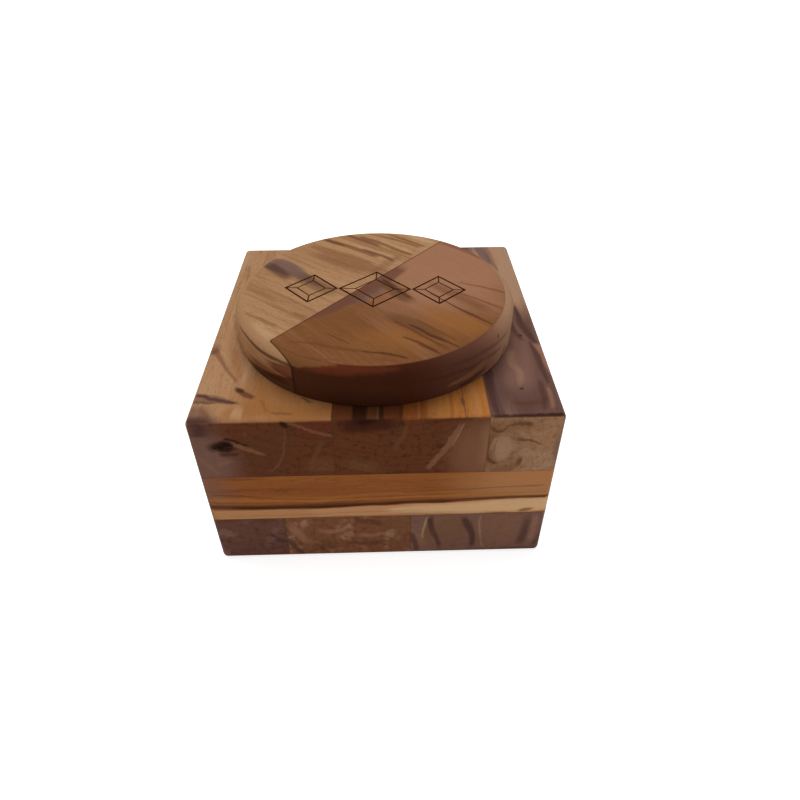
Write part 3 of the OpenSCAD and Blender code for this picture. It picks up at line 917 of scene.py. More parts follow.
def top_right_wood(node):
    """Purple brown burl with a tan strip along its right edge, a ring knot in front and painted light in the
    lid's shade.
    """
    wood = Wood(node, 90, (40, 3, 21))
    up, front = wood.up, wood.front
    wood.ground(("grape", "putty", "plum"), ("end_tan", "putty", "end_olive"), 0.25, 0.3, (0, 48, 55), 4,
                0.2)
    up.spot("putty", 0.85, 0.3, (54, 40), (12, 40), -3)
    up.stroke("grape", 0.9, 1.8, (54.4, 12, 0.5), (53.2, 0, 1.8), (52.6, -9, 3.6), (51, -22, 6.5),
              (48.6, -38, 9), (47, -62, 11))
    up.stroke("slate", 0.9, 1.2, (46, 62, 1.8), (46.9, 54, 1.9), (48.2, 47, 1.7), (50, 38.6, 0.8))
    up.stroke("mauve", 0.6, 1.6, (49.4, 62, 1), (49.8, 52, 1.4), (51, 42, 1), (52, 32, 0.5))
    up.stroke("rose", 0.5, 1.4, (52, 62, 1), (52.2, 50, 1.2), (53, 38, 0.8))
    # Painted light: the pale grey streak and the faint tan one below lighten the lid's shade on this block
    # and give it a cool tint.
    up.stroke("end_grey", 0.9, 5, (52.2, 6, 1), (52.2, -7, 3), (51, -18, 4.2), (49, -30, 5),
              (47.6, -42, 4.4), (47, -54, 1))
    up.stroke("putty", 0.3, 2, (50.6, -22, 0.4), (47.6, -30, 1.4), (49, -38, 1), (47.6, -46, 0.4))
    up.stroke("plum", 0.8, 1.4, (53.9, 8, 0.4), (54.6, -1, 1), (55.3, -9, 1.3), (57.4, -17.5, 0.9),
              (59.6, -22, 0.4))
    up.stroke("plum", 0.6, 1.4, (51.8, -3, 0.4), (51.4, -9, 0.8), (52.6, -15, 0.8), (54.6, -19, 0.4))
    up.stroke("plum", 0.75, 1.4, (46, -17, 0.4), (42.4, -26, 0.8), (39, -34, 1.2), (37.9, -42, 1.7),
              (38.2, -50, 1.8), (39.4, -61, 1.8))
    up.stroke("slate", 0.45, 1, (40.6, -38, 0.6), (39.8, -46, 0.9), (40.4, -59, 0.8))
    up.stroke("rose", 0.6, 1.2, (55, -19.4, 0.4), (58.8, -23, 1.6), (59.6, -31, 1.6), (60.4, -40, 1))
    up.stroke("plum", 0.7, 1.1, (55.6, -18, 0.4), (56.4, -25, 0.7), (56.8, -35, 0.9), (57.2, -44, 0.6))
    up.stroke("umber", 0.6, 2, (41.6, -50.6, 0.8), (47, -53.4, 1.2), (53, -52.4, 1), (56, -47, 0.5))
    up.stroke("plum", 0.6, 1.4, (54.6, -40, 0.4), (54.4, -46, 1), (53.6, -53, 0.9), (51.6, -58, 0.5))
    up.stroke("rose", 0.45, 1, (55.8, -44, 0.3), (56.4, -50, 0.8), (54.8, -57, 0.6))
    up.stroke("coal", 0.75, 1, (35.5, -59.2, 0.7), (47, -59.3, 0.9), (59.5, -58.8, 0.7))
    up.spot("plum", 0.3, 0.6, (46, -51), (10, 7))
    up.spot("coal", 0.7, 0.4, (53.4, -14.4), (0.6, 0.7))
    up.spot("coal", 0.7, 0.4, (48.2, -45.7), (0.7, 0.6))
    front.stroke("end_olive", 0.6, 4, (36.4, 40, 3), (36.4, 72, 3))
    front.spot("end_brown", 0.3, 0.5, (41.6, 54.5), (7.4, 11.5))
    front.spot("end_olive", 0.4, 0.5, (44, 64.8), (9, 2.4))
    front.stroke("umber", 0.7, 0.9, (35.2, 65.4, 0.5), (37.6, 63.4, 0.8), (39.8, 62.4, 0.6), (42, 64.6, 0.4),
                 (46, 65.8, 0.8), (50, 65.4, 0.4))
    front.stroke("end_olive", 0.6, 1.2, (36.4, 44.2, 0.8), (39.6, 44.6, 1.4), (44.4, 46, 1.4),
                 (47.2, 47.4, 1))
    front.stroke("umber", 0.75, 0.7, (36.5, 61.8, 0.5), (36.3, 57, 0.25), (36, 52.4, 0.3), (36.6, 49.6, 0.6),
                 (39, 47.9, 0.7), (42.6, 48.2, 0.7), (45.2, 50.4, 0.4))
    front.spot("putty", 0.65, 0.35, (40.8, 54.8), (3.2, 5.6), -6)
    front.stroke("end_light", 0.7, 0.5, (39.2, 59, 0.2), (38.2, 55, 0.4), (37.8, 51.6, 0.3))
    front.stroke("putty", 0.4, 0.6, (36.6, 53.4, 0.3), (37.6, 57, 0.5), (39.4, 60.4, 0.4))
    front.stroke("umber", 0.7, 0.8, (45.2, 60.6, 0.7), (46.2, 58.6, 0.8), (49.4, 58.2, 0.5),
                 (54.7, 55.6, 0.3))
    front.stroke("umber", 0.65, 1, (46.2, 45.2, 0.9), (46.8, 48.4, 0.9), (46.6, 51.6, 0.5))
    front.stroke("slate", 0.6, 2.2, (59.8, 44, 0.9), (59.4, 56, 1.2), (59.6, 68, 0.9))
    wood.glue(glued_faces(node), strength=0.22)
    return wood.finish()


def middle_front_wood(node):
    """Long board with warm brown wood, a thin dark line and a pale sapwood stripe below it."""
    wood = Wood(node, 0, (0, 5, 0))
    front = wood.front
    wood.ground(("russet", "gold", "umber"), ("end_brown", "rust", "bark"), 0.3, 0.45, (0, 10, 80), 3.4, 0.3)
    front.spot("ginger", 0.9, 0.6, (54, 38), (24, 11))
    front.spot("end_grey", 0.6, 0.8, (-60, 37), (8, 9))
    front.stroke("gold", 0.5, 1.6, (-60, 34.2, 0.8), (-40, 33, 0.7), (0, 33.6, 0.8), (30, 34.4, 0.7))
    front.stroke("umber", 0.5, 0.7, (-58, 35.6, 0.2), (-48, 34.9, 0.35), (-36, 33.4, 0.25), (-20, 32.8, 0.2))
    front.stroke("umber", 0.45, 0.7, (8, 34.1, 0.2), (24, 35, 0.3), (44, 35.9, 0.3), (57, 36.6, 0.2))
    front.stroke("gold", 0.75, 0.7, (-60, 32.6, 0.35), (-30, 32, 0.4), (0, 31.7, 0.45), (30, 32.5, 0.45),
                 (60, 33.2, 0.4))
    front.stroke("rose", 0.4, 1.6, (30, 33.6, 0.4), (44, 34.4, 0.9), (62, 33.8, 1.2))
    front.stroke("sap", 0.95, 0.7, (-61, 24.3, 2.9), (-39, 24.5, 2.9), (0, 24.9, 3), (18, 25.2, 3.1),
                 (36, 26.1, 3.3), (61, 26.6, 3.4))
    front.stroke("ginger", 0.6, 3, (-75, 24.4, 3.2), (-45, 24.6, 3), (-20, 24.7, 2))
    front.stroke("cream", 0.75, 2.2, (0, 25.4, 0.6), (24, 26, 2), (46, 26.4, 2.8), (80, 26.8, 3))
    front.stroke("umber", 0.9, 0.8, (-61, 29.6, 0.9), (-39, 29.1, 1.1), (-21, 29.3, 1.1), (0, 29.2, 0.9),
                 (18, 29.6, 0.8), (36, 30.6, 0.6), (61, 31, 0.6))
    front.stroke("coal", 0.6, 0.7, (-52, 29.2, 0.3), (-40, 28.8, 0.6), (-10, 28.8, 0.5), (20, 29.3, 0.3),
                 (60, 30.8, 0.2))
    front.stroke("rust", 0.22, 0.6, (-54, 24, 0.2), (-20, 24.6, 0.3), (16, 25.2, 0.2))
    front.spot("rust", 0.7, 0.5, (52, 24.1), (2.6, 0.8), 10)
    front.stroke("rust", 0.45, 0.8, (-30, 22.9, 0.2), (0, 23, 0.3), (46, 23, 0.2))
    wood.glue(glued_faces(node))
    return wood.finish()


def middle_wood(node):
    """Plain warm brown board along the middle course."""
    shift = (30, 0, 12) if node == "middle_back_board" else (70, 20, 3)
    wood = Wood(node, 0, shift)
    wood.ground(("russet", "sap", "umber"), ("end_brown", "rust", "bark"), 0.6, 0.6, (0, 14, 70), 3.4, 0.45)
    wood.glue(glued_faces(node))
    return wood.finish()


def bottom_left_wood(node):
    """Purple brown block with faint figure."""
    wood = Wood(node, 90, (15, 2, 9))
    front = wood.front
    wood.ground(("grape", "mauve", "plum"), ("mauve", "end_grey", "plum"), 0.5, 0.4, (0, 40, 60), 3.6, 0.2)
    front.stroke("umber", 0.5, 1.6, (-60, 21.4, 0.8), (-48, 21.6, 0.9), (-35, 21.4, 0.6))
    front.stroke("plum", 0.65, 1.2, (-41, 16, 0.2), (-37.5, 11.2, 0.8), (-34, 8.2, 0.8))
    wood.glue(glued_faces(node))
    return wood.finish()


def bottom_centre_wood(node):
    """Mottled brown block with swirls."""
    wood = Wood(node, 90, (25, 30, 5))
    front = wood.front
    wood.ground(("umber", "rust", "bark"), ("end_rust", "rose", "umber"), 0.5, 0.4, (0, 20, 32), 3.6, 0.2)
    front.stroke("rose", 0.6, 1.8, (-33.6, 21, 0.8), (-31.5, 16, 1.8), (-29, 11, 1.5), (-25, 6, 0.6))
    front.stroke("plum", 0.75, 1.5, (-36, 12, 0.7), (-33.8, 9, 1.1), (-31.6, 5, 0.9), (-29, 0, 0.8))
    front.stroke("umber", 0.7, 1.8, (-12, 22, 1), (-5, 19.8, 1.6), (3, 17.4, 1.2))
    front.stroke("rose", 0.55, 1.4, (-24, 17, 0.5), (-20, 14, 1.1), (-15.6, 14.8, 0.9), (-12, 18, 0.4))
    front.stroke("umber", 0.55, 1.4, (-14, 11, 0.5), (-8, 8, 1.1), (0, 7.6, 0.9), (6, 9.4, 0.4))
    front.stroke("rose", 0.5, 1.4, (-10, 14.4, 0.5), (-4.6, 12, 1), (3, 13, 0.8), (8, 16, 0.4))
    front.spot("umber", 0.5, 0.6, (-20.5, 5.5), (3, 3.6))
    front.spot("end_olive", 0.45, 0.6, (6, 17), (5, 4))
    wood.glue(glued_faces(node))
    return wood.finish()


def bottom_right_wood(node):
    """Purple brown block crossed by dark arcs and two thin pale ones, with painted shade along its foot."""
    wood = Wood(node, 90, (5, 40, 15))
    front = wood.front
    wood.ground(("grape", "rust", "plum"), ("end_grey", "end_grey", "mauve"), 0.5, 0.4, (0, 30, 90), 3.6,
                0.2)
    front.spot("end_light", 0.4, 0.7, (24, 12), (9, 10))
    front.spot("end_light", 0.55, 0.7, (44, 12), (9, 11))
    front.spot("rose", 0.35, 0.7, (12, 8), (6, 7))
    front.stroke("plum", 0.65, 1.4, (11.6, 14, 0.8), (12.2, 6, 1.2), (14, 0, 0.9))
    front.stroke("end_olive", 0.55, 2.4, (18, 22, 1.4), (17.6, 12, 1.7), (18, 3, 1.4))
    front.stroke("straw", 0.6, 0.7, (16.9, 21.8, 0.45), (16, 15.6, 0.4), (15.6, 8.4, 0.3))
    front.stroke("plum", 0.8, 1.4, (17.2, 22.4, 0.9), (18.6, 16, 1.1), (20.4, 9.7, 1), (22, 3, 1))
    front.spot("end_olive", 0.45, 0.5, (26, 14), (6, 8))
    front.stroke("plum", 0.8, 1.5, (29.8, 22, 1), (32.4, 16, 1.3), (33.8, 9.6, 1.1), (33, 2, 0.9))
    front.stroke("end_tan", 0.7, 0.7, (37.4, 22.4, 0.3), (36.3, 16.3, 0.45), (36.8, 10.4, 0.4),
                 (39, 2.6, 0.3))
    front.stroke("plum", 0.65, 2.4, (52.6, 22, 1), (52.9, 12, 1.4), (51, 2, 1.8))
    front.stroke("rose", 0.45, 1.6, (56, 22, 0.8), (55.8, 14, 1.1), (55, 5, 0.8))
    front.stroke("plum", 0.6, 1.5, (59.6, 21, 0.8), (59, 10, 1), (57, 2, 1.6))
    # Painted shade: a dark band along the foot of the front, where the block stands on the floor.
    front.stroke("plum", 0.55, 2, (11, 0.8, 0.6), (36, 1, 1), (62, 1.4, 1.6))
    wood.glue(glued_faces(node))
    return wood.finish()


def lid_glue():
    """The planes of the lid's long and short glue line."""
    return lid_seams(bpy.context.scene.salt_box_lid, bpy.context.scene.salt_box_sizes)


def pale_lid_marks(wood):
    """The marks that run on from the lid's pale board into its small corner board, with painted shadow along
    the lid's foot.
    """
    up, rim = wood.up, wood.rim
    up.stroke("oak", 0.4, 2, (-50, 0.5, 0.5), (-41.6, -5.4, 1.1), (-36.9, -9.6, 0.9), (-34, -12.5, 0.4))
    up.stroke("oak", 0.5, 1.5, (-50, -16, 0.3), (-42.8, -20.9, 0.7), (-37, -25.2, 0.8), (-33, -29.2, 0.4))
    up.stroke("straw", 0.6, 2.4, (-43, -23, 1), (-37.4, -31, 1.9), (-33, -38, 1.4))
    up.stroke("oak", 0.6, 1.6, (-29.6, -16.5, 0.5), (-25.8, -20.4, 1), (-22, -22.4, 0.8))
    rim.stroke("tan", 0.9, 0.8, (-60, 81.4, 2.1), (-20, 81.4, 2.1))
    rim.stroke("sap", 0.6, 1.6, (-60, 75.6, 3.8), (-34, 75.6, 3.4), (-20, 75.6, 2.8))
    rim.stroke("rose", 0.6, 0.9, (-44, 77.4, 0.4), (-39.5, 76.2, 0.7), (-32.6, 75.7, 0.6), (-25, 74.9, 0.4))
    rim.stroke("rose", 0.45, 0.9, (-44.5, 79, 0.3), (-38, 78, 0.6), (-31, 78.6, 0.4))
    rim.stroke("brick", 0.8, 1.4, (-38, 77.6, 0.3), (-33.5, 77, 1.4), (-29, 76.6, 2.6), (-20, 76.6, 4))
    rim.stroke("amber", 0.7, 1.8, (-46, 73.6, 0.6), (-40, 73.2, 1.4), (-34, 73.4, 2.2), (-26, 74, 3.4))
    rim.stroke("rose", 0.5, 0.7, (-40, 76.4, 0.3), (-34.6, 75, 0.35), (-28, 74.2, 0.3))
    # Painted shadow: the dark band low on the lid's side, widening towards the front, stands in for the
    # shade where the lid sits on the box.
    rim.stroke("bark", 0.85, 1.8, (-47, 70.2, 1.2), (-41.4, 70, 1.6), (-34, 70.8, 2.4), (-28, 71.6, 3.2),
               (-20, 72.2, 4.4))
    rim.stroke("umber", 0.85, 0.6, (-46.6, 80.9, 0.2), (-42.9, 80.2, 0.3), (-38.5, 79.9, 0.45),
               (-30.5, 79.7, 0.45), (-22, 79.4, 0.5))


def pale_lid_ground(node):
    """The plain wood of the stick that the lid's pale board and its small corner board are cut from."""
    wood = Wood(node, -40, (12, 0, 4))
    wood.ground(("tan", "straw", "rust"), ("tan", "straw", "rust"), 0.4, 0.25, (0, 30, 60), 4, 0.2)
    return wood


def lid_pale_wood(node):
    """Pale tan board with a dark patch at its left and dark streaks at its back."""
    wood = pale_lid_ground(node)
    up = wood.up
    up.stroke("oak", 0.45, 3.5, (-27, 29, 2.5), (-12, 17, 4), (0, 7, 3))
    up.stroke("slate", 0.8, 2.4, (-46, 22.5, 2.4), (-42, 20, 3.4), (-37.2, 16.4, 4.6), (-32.4, 12.4, 4),
              (-28.2, 8.4, 2.6), (-23.5, 2.6, 1.4), (-18, -5, 0.6))
    up.stroke("plum", 0.65, 2.4, (-44, 19.4, 1.6), (-42, 17, 2), (-38, 12.4, 2.4), (-34.1, 7.6, 2),
              (-31, 3.4, 0.8))
    up.stroke("cocoa", 0.5, 3, (-31, 10, 2.8), (-24, 2.5, 3.6), (-17, -5, 2.6), (-13, -9.6, 1))
    up.stroke("rust", 0.68, 1.3, (-25, 42, 0.9), (-20.8, 38.9, 1.2), (-13.1, 33.8, 1.4), (-6.2, 28.4, 1.4),
              (2, 21.6, 1.1))
    up.stroke("plum", 0.5, 1, (-22, 40, 0.5), (-18, 37.3, 0.8), (-12, 32.4, 0.5))
    up.stroke("rust", 0.7, 1.1, (-16, 46, 0.5), (-11.3, 42.9, 0.8), (-4.8, 37.8, 1), (2.6, 31.4, 0.8))
    up.stroke("rust", 0.8, 1.1, (-6, 31.6, 0.5), (-2.6, 27.7, 1.1), (2.6, 23.5, 1.1), (8, 17.6, 0.9))
    up.stroke("rust", 0.68, 1.1, (-7, 42, 0.5), (-2.7, 38.3, 1), (3.7, 33.9, 1.2), (10.4, 27.2, 1.1),
              (16, 23, 0.8))
    up.stroke("rust", 0.6, 1, (-6, 45, 0.4), (1, 41.6, 0.6), (8, 37.6, 0.8), (18.2, 28.7, 0.6))
    up.stroke("oak", 0.8, 1, (4, 43.4, 0.4), (9, 40, 0.7), (14.8, 34.9, 0.8), (20.4, 29.8, 0.4))
    up.stroke("straw", 0.6, 1.3, (-8, 32.2, 0.6), (2, 26, 0.9), (8, 20.4, 0.5))
    up.stroke("straw", 0.6, 1.3, (1, 37.4, 0.6), (9, 31, 0.9), (15, 24.6, 0.5))
    up.stroke("oak", 0.5, 2.4, (-29, 34, 1.2), (-18.6, 28.2, 1.9), (-10, 22.4, 1.8), (0, 14.4, 1.4))
    up.stroke("rose", 0.6, 1.6, (-2, 45, 0.8), (6, 40.8, 1.2))
    up.stroke("straw", 0.85, 1.2, (12.4, 42.4, 0.7), (17.5, 38.4, 1.4), (24.8, 33.1, 0.8))
    up.spot("cocoa", 0.35, 0.6, (4, 16.4), (9, 2.2), 51)
    pale_lid_marks(wood)
    long_seam, short_seam = lid_glue()
    wood.glue((long_seam,), 0.32, 0.85, short_seam)
    return wood.finish(gloss=0.0)


def lid_brown_wood(node):
    """Golden and pinkish brown board, darker along its glue line, with a nearly black lower edge and painted
    shade at its foot.
    """
    wood = Wood(node, -50, (3, 22, 14))
    up, rim = wood.up, wood.rim
    wood.ground(("oak", "rose", "cocoa"), ("umber", "cocoa", "bark"), 0.3, 0.3, (0, 25, 60), 4, 0.2)
    up.spot("rose", 0.85, 0.45, (29, 13), (24, 36), -30)
    up.spot("rose", 0.35, 0.6, (44, -8), (8, 16), -20)
    up.spot("honey", 0.45, 0.6, (14, -33), (20, 8), 12)
    up.stroke("honey", 0.5, 4, (13, -15, 2), (24, -23, 4.4), (33, -30, 4.4), (39, -36, 1.5))
    up.stroke("cocoa", 0.5, 1.2, (25.5, 34.5, 0.4), (29.5, 31.6, 0.9), (33.8, 27.6, 0.9), (38.6, 22.4, 0.7),
              (42.5, 16.5, 0.3))
    up.stroke("mauve", 0.8, 2, (-30, -27, 0.6), (-25.6, -23.6, 1.4), (-19.3, -18.6, 2), (-12.8, -13.2, 2.8),
              (-6, -7.5, 3.2), (0, 0, 3.6), (6, 9, 3.4), (12, 16, 1.6))
    up.stroke("slate", 0.5, 1.6, (-10, -13.6, 1), (-5, -10.6, 2), (1, -5, 1.8), (8, 2, 1.2))
    up.stroke("cocoa", 0.8, 1.4, (4, 12, 1.2), (12, 20, 1.4), (22, 31.6, 1), (29, 38, 1.2))
    up.stroke("cocoa", 0.75, 2.6, (0, 5, 1.6), (5, -1.6, 2.2), (9, -8.4, 2.4), (14, -15, 1.4))
    up.stroke("bark", 0.55, 1, (1.4, 4.6, 0.4), (5, -0.4, 0.7), (8.4, -5.4, 0.7), (13.4, -11, 0.4))
    up.stroke("cocoa", 0.7, 3, (2, -20, 1.6), (9, -25, 2.8), (17, -32, 2.6), (25, -40, 1.2))
    up.stroke("umber", 0.6, 0.8, (6, -25, 0.3), (11, -29.6, 0.6), (18, -37.4, 0.5), (24, -43, 0.3))
    up.stroke("umber", 0.5, 0.8, (13, -24.4, 0.3), (19, -30.4, 0.5), (27, -38.6, 0.3))
    up.stroke("umber", 0.55, 0.9, (30, 1.2, 0.3), (35.5, -1.4, 0.4), (42.2, -4.6, 0.5), (48, -9.4, 0.3))
    up.stroke("umber", 0.55, 0.9, (28, -6, 0.3), (34.1, -9.7, 0.4), (38.7, -13.4, 0.5), (46, -19.4, 0.3))
    up.stroke("rust", 0.55, 3.2, (18, 3, 0.8), (29, -8, 2.2), (41, -22, 1.6))
    up.stroke("umber", 0.85, 0.7, (19, -5.6, 0.2), (25, -12.6, 0.4), (30.8, -19.2, 0.6), (35.1, -23.5, 0.6),
              (40.4, -29.3, 0.4))
    up.stroke("bark", 0.65, 0.8, (11, -27.4, 0.2), (14.2, -30, 0.5), (18.2, -34.7, 0.6), (22.9, -38.6, 0.6),
              (28, -42.4, 0.3))
    up.stroke("bark", 0.6, 0.8, (8, -34.4, 0.2), (11.4, -36.7, 0.5), (15.4, -39.8, 0.6), (20, -45, 0.4))
    up.stroke("umber", 0.7, 0.8, (13, -39.4, 0.2), (16.1, -41.2, 0.5), (21.5, -46, 0.4))
    up.stroke("bark", 0.6, 0.9, (-5, -42.6, 0.2), (-1.9, -43.5, 0.4), (3.4, -44.3, 0.6), (11, -47.8, 0.4))
    up.stroke("umber", 0.55, 0.7, (-17, -32, 0.2), (-11.9, -36, 0.4), (-8, -39, 0.2))
    up.stroke("umber", 0.45, 1.4, (-30, -36.4, 0.3), (-22.1, -37.8, 0.6), (-9.6, -41.8, 0.8),
              (1.3, -43.4, 0.4))
    up.stroke("rust", 0.5, 1, (-25, -47, 0.6), (-17.3, -46.9, 0.7), (-10, -48, 0.4))
    up.stroke("rust", 0.45, 1.4, (-2, -46.6, 0.6), (9, -49, 0.8))
    rim.stroke("bark", 0.97, 1.2, (-60, 75, 9), (60, 75, 9))
    rim.spot("mauve", 0.9, 0.8, (46, 75), (21, 60))
    rim.spot("umber", 0.45, 0.8, (-32, 74), (12, 20))
    rim.spot("rose", 0.5, 0.8, (46.5, 75), (9, 60))
    rim.spot("putty", 0.8, 0.7, (50.5, 77), (7.4, 22))
    rim.stroke("brick", 0.8, 1.6, (-60, 81.4, 1.6), (-18, 81.5, 1.3), (0, 81.8, 0.5), (10, 82, 0.1))
    rim.stroke("oak", 0.95, 0.7, (-36, 82.2, 2.4), (-25, 82.1, 2), (-21, 82.3, 1.1), (-17, 82.6, 0.7),
               (-10, 82.9, 0.3))
    # Painted shade: a faint near-black band low on the front of the lid's side, where the lid sits on the
    # box.
    rim.stroke("coal", 0.3, 5, (-20, 70, 1), (0, 71, 3), (12, 70, 1))
    rim.stroke("plum", 0.4, 0.9, (22, 79.6, 0.4), (33, 79, 0.7), (42, 78, 0.6), (47, 77.2, 0.3))
    rim.stroke("bark", 0.35, 0.9, (12, 76.6, 0.4), (24, 76.2, 0.7), (34, 75.4, 0.7), (44, 73.6, 0.5))
    rim.stroke("end_olive", 0.75, 0.9, (22, 71.4, 0.4), (29.4, 72.7, 0.9), (33.4, 73.5, 1), (38, 75.4, 0.4))
    rim.stroke("bark", 0.7, 0.7, (26, 69.8, 0.3), (32, 70.8, 0.6), (38, 71.8, 0.3))
    rim.stroke("bark", 0.6, 0.6, (42, 69.2, 0.2), (44.6, 71.4, 0.4), (45.2, 73.4, 0.2))
    rim.spot("bark", 0.5, 0.4, (41.3, 80), (0.4, 0.8))
    wood.glue(lid_glue(), 0.32, 0.85)
    return wood.finish(gloss=0.0)


def lid_corner_wood(node):
    """Small pale board at the lower left of the lid, from the same stick as the large pale one."""
    wood = pale_lid_ground(node)
    pale_lid_marks(wood)
    wood.glue(lid_glue()[1:], 0.32, 0.85)
    return wood.finish(gloss=0.0)


def scorched_wood():
    """Bottom and sides of the cut ornament, browned by the cutter."""
    wood = Wood("scorched_line", -45, (0, 0, 0))
    wood.ground(("scorch", "umber", "bark"), ("scorch", "umber", "bark"), 0.5, 0.5)
    return wood.finish(0.7)


def brushed_steel():
    """Turned and polished pin, with fine rings from the lathe."""
    stains = bpy.context.scene.salt_box_stains
    material = bpy.data.materials.new("pin_steel")
    material.use_nodes = True
    tree = material.node_tree
    tree.nodes.clear()
    seat = tree.nodes.new("ShaderNodeTexCoord")
    place = scaled(tree, seat.outputs["Object"], 1 / MM)
    rings = noise(tree, place, (0.2, 0.2, 9.0), 2.0)
    cloud = noise(tree, place, (0.3, 0.3, 0.3), 3.0)
    colour = blend(tree, ramp(tree, cloud, 0.35, 0.7, 0.0, 0.35), (*stains.steel, 1.0),
                   (*(0.7 * c for c in stains.steel), 1.0))
    bump = add(tree, "ShaderNodeBump", {"Strength": 0.3, "Distance": 0.00001, "Height": rings})
    shader = add(tree, "ShaderNodeBsdfPrincipled", {
        "Base Color": colour, "Metallic": 1.0, "Roughness": ramp(tree, rings, 0.2, 0.8, 0.22, 0.38),
        "Normal": bump.outputs[0]})
    add(tree, "ShaderNodeOutputMaterial", {0: shader.outputs[0]})
    return material


WOODS = {
    "bottom_left_block": bottom_left_wood, "bottom_centre_block": bottom_centre_wood,
    "bottom_right_block": bottom_right_wood, "middle_front_board": middle_front_wood,
    "middle_left_board": middle_wood, "middle_right_board": middle_wood, "middle_back_board": middle_wood,
    "top_left_block": top_left_wood, "top_centre_front_block": top_centre_wood,
    "top_centre_back_block": top_centre_wood, "top_right_block": top_right_wood,
    "lid_pale_board": lid_pale_wood, "lid_brown_board": lid_brown_wood, "lid_corner_board": lid_corner_wood,
}


def dressed(node):
    """The wood of a node, named for its material slot."""
    material = WOODS[node](node)
    material.name = slot_name(node)
    return material


class SALTBOX_OT_grain(Operator):
    """Make the node groups that every board's wood is built from"""
    bl_idname = "saltbox.grain"
    bl_label = "Wood Grain"

    def execute(self, context):
        for build in (group_place, group_long_grain, group_end_grain, group_brush, group_spot):
            build()
        return {"FINISHED"}


class SALTBOX_OT_bottom_course(Operator):
    """Build the three blocks under the well"""
    bl_idname = "saltbox.bottom_course"
    bl_label = "Bottom Course"

    def execute(self, context):
        make_blocks("bottom_left_block", "bottom_centre_block", "bottom_right_block")
        return {"FINISHED"}


class SALTBOX_OT_middle_course(Operator):
    """Build the four boards that lie crosswise round the well"""
    bl_idname = "saltbox.middle_course"
    bl_label = "Middle Course"

    def execute(self, context):
        make_blocks("middle_front_board", "middle_left_board", "middle_right_board", "middle_back_board")
        return {"FINISHED"}


class SALTBOX_OT_top_course(Operator):
    """Build the four blocks round the mouth of the well"""
    bl_idname = "saltbox.top_course"
    bl_label = "Top Course"

    def execute(self, context):
        make_blocks("top_left_block", "top_centre_front_block", "top_centre_back_block", "top_right_block")
        return {"FINISHED"}


class SALTBOX_OT_lid(Operator):
    """Build the turned lid with its cut ornament, sawn into its three boards"""
    bl_idname = "saltbox.lid"
    bl_label = "Lid"

    def execute(self, context):
        make_lid(scorched_wood())
        return {"FINISHED"}


class SALTBOX_OT_pivot_pin(Operator):
    """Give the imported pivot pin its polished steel"""
    bl_idname = "saltbox.pivot_pin"
    bl_label = "Pivot Pin"

    def execute(self, context):
        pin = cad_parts["pivot_pin"]
        steel = brushed_steel()
        if not pin.material_slots:
            pin.data.materials.append(steel)
        for slot in pin.material_slots:
            slot.material = steel
        return {"FINISHED"}


def backdrop_shader(tree, surface, white):
    """Shows plain white to the camera and in gloss and glass, and the given surface to everything else."""
    path = tree.nodes.new("ShaderNodeLightPath").outputs
    seen = number(tree, "MAXIMUM", path["Is Camera Ray"], path["Is Glossy Ray"])
    seen = number(tree, "MAXIMUM", seen, path["Is Transmission Ray"])
    return add(tree, "ShaderNodeMixShader", {0: seen, 1: surface, 2: white}).outputs[0]


def make_floor(stage):
    """A wide pale floor that turns white and still keeps the box's soft shadow."""
    bpy.ops.object.select_all(action="DESELECT")
    bpy.ops.mesh.primitive_plane_add(size=stage.floor_size, location=(0, 0, -stage.floor_drop))
    floor = settle(bpy.context.object)
    floor.name = "floor"
    material = bpy.data.materials.new("pale_floor")
    material.use_nodes = True
    tree = material.node_tree
    tree.nodes.clear()
    matt = add(tree, "ShaderNodeBsdfDiffuse", {"Color": (*[stage.floor_grey] * 3, 1)}).outputs[0]
    glow = add(tree, "ShaderNodeEmission", {"Color": WHITE, "Strength": stage.floor_glow}).outputs[0]
    lifted = add(tree, "ShaderNodeAddShader", {0: matt, 1: glow}).outputs[0]
    add(tree, "ShaderNodeOutputMaterial", {0: backdrop_shader(tree, matt, lifted)})
    floor.data.materials.append(material)


def make_world(stage):
    """Even light from all round, behind which the view stays white."""
    world = bpy.data.worlds.new("studio")
    bpy.context.scene.world = world
    world.use_nodes = True
    tree = world.node_tree
    tree.nodes.clear()
    sky = add(tree, "ShaderNodeBackground", {"Color": WHITE, "Strength": stage.sky_level}).outputs[0]
    white = add(tree, "ShaderNodeBackground", {"Color": WHITE, "Strength": 1.0}).outputs[0]
    add(tree, "ShaderNodeOutputWorld", {0: backdrop_shader(tree, sky, white)})


def make_light(name, kind, place, energy):
    """A light that shines on the box from a place."""
    bpy.ops.object.select_all(action="DESELECT")
    bpy.ops.object.light_add(type=kind, location=place)
    lamp = bpy.context.object
    lamp.name = name
    lamp.data.energy = energy
    lamp.rotation_euler = (Vector(LAMPS_AIM) - Vector(place)).to_track_quat("-Z", "Y").to_euler()
    return lamp.data


def make_camera(stage):
    """The camera where the photograph was taken from."""
    bpy.ops.object.select_all(action="DESELECT")
    bpy.ops.object.camera_add(location=stage.camera_place)
    camera = bpy.context.object
    camera.name = "camera"
    turn = Matrix.Rotation(stage.camera_yaw, 3, "Z")
    ahead = turn @ Vector((0, math.cos(stage.camera_pitch), -math.sin(stage.camera_pitch)))
    right = turn @ Vector((1, 0, 0))
    above = right.cross(ahead)
    roll_cos, roll_sin = math.cos(stage.camera_roll), math.sin(stage.camera_roll)
    side = roll_cos * right + roll_sin * above
    up = roll_cos * above - roll_sin * right
    camera.rotation_euler = Matrix((side, up, -ahead)).transposed().to_euler()
    camera.data.sensor_width = 36.0
    camera.data.lens = stage.camera_lens
    camera.data.clip_start = 0.01
    bpy.context.scene.camera = camera


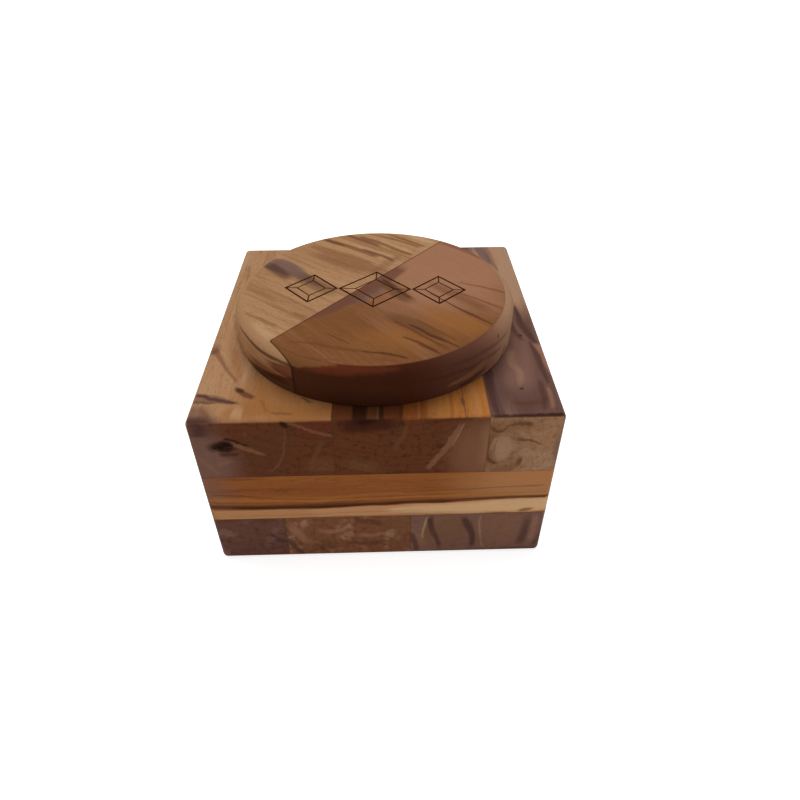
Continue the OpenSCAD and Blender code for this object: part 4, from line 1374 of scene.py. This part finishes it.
class SALTBOX_OT_stage(Operator):
    """Set up the pale floor, the soft lights and the camera"""
    bl_idname = "saltbox.stage"
    bl_label = "Stage"

    def execute(self, context):
        stage = context.scene.salt_box_stage
        make_floor(stage)
        make_world(stage)
        make_light("key", "SUN", stage.key_place, stage.key_strength).angle = stage.key_spread
        make_light("fill", "AREA", stage.fill_place, stage.fill_power).size = stage.fill_size
        make_camera(stage)
        context.scene.view_settings.view_transform = "Standard"
        return {"FINISHED"}


STEPS = (SALTBOX_OT_grain, SALTBOX_OT_bottom_course, SALTBOX_OT_middle_course, SALTBOX_OT_top_course,
         SALTBOX_OT_lid, SALTBOX_OT_pivot_pin, SALTBOX_OT_stage)


class SALTBOX_PT_steps(Panel):
    """Lists the steps that build the salt box."""
    bl_idname = "SALTBOX_PT_steps"
    bl_label = "Salt Box"
    bl_space_type = "VIEW_3D"
    bl_region_type = "UI"
    bl_category = "Salt Box"

    def draw(self, context):
        for step in STEPS:
            self.layout.operator(step.bl_idname)
        for settings in ("salt_box_sizes", "salt_box_lid", "salt_box_stains", "salt_box_stage"):
            group = getattr(context.scene, settings)
            column = self.layout.column()
            for name in group.__annotations__:
                column.prop(group, name)


SETTINGS = {"salt_box_sizes": BoxSizes, "salt_box_lid": LidSizes, "salt_box_stains": Stains,
            "salt_box_stage": StageSettings}
CLASSES = (*SETTINGS.values(), *STEPS, SALTBOX_PT_steps)


def register():
    """Adds the settings, the steps and the panel to Blender."""
    for cls in CLASSES:
        bpy.utils.register_class(cls)
    for name, group in SETTINGS.items():
        setattr(bpy.types.Scene, name, PointerProperty(type=group))


def unregister():
    """Takes them away again."""
    for name in SETTINGS:
        delattr(bpy.types.Scene, name)
    for cls in reversed(CLASSES):
        bpy.utils.unregister_class(cls)


def main():
    """Registers the add-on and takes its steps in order."""
    register()
    bpy.ops.saltbox.grain()
    bpy.ops.saltbox.bottom_course()
    bpy.ops.saltbox.middle_course()
    bpy.ops.saltbox.top_course()
    bpy.ops.saltbox.lid()
    bpy.ops.saltbox.pivot_pin()
    bpy.ops.saltbox.stage()


if __name__ == "__main__":
    main()
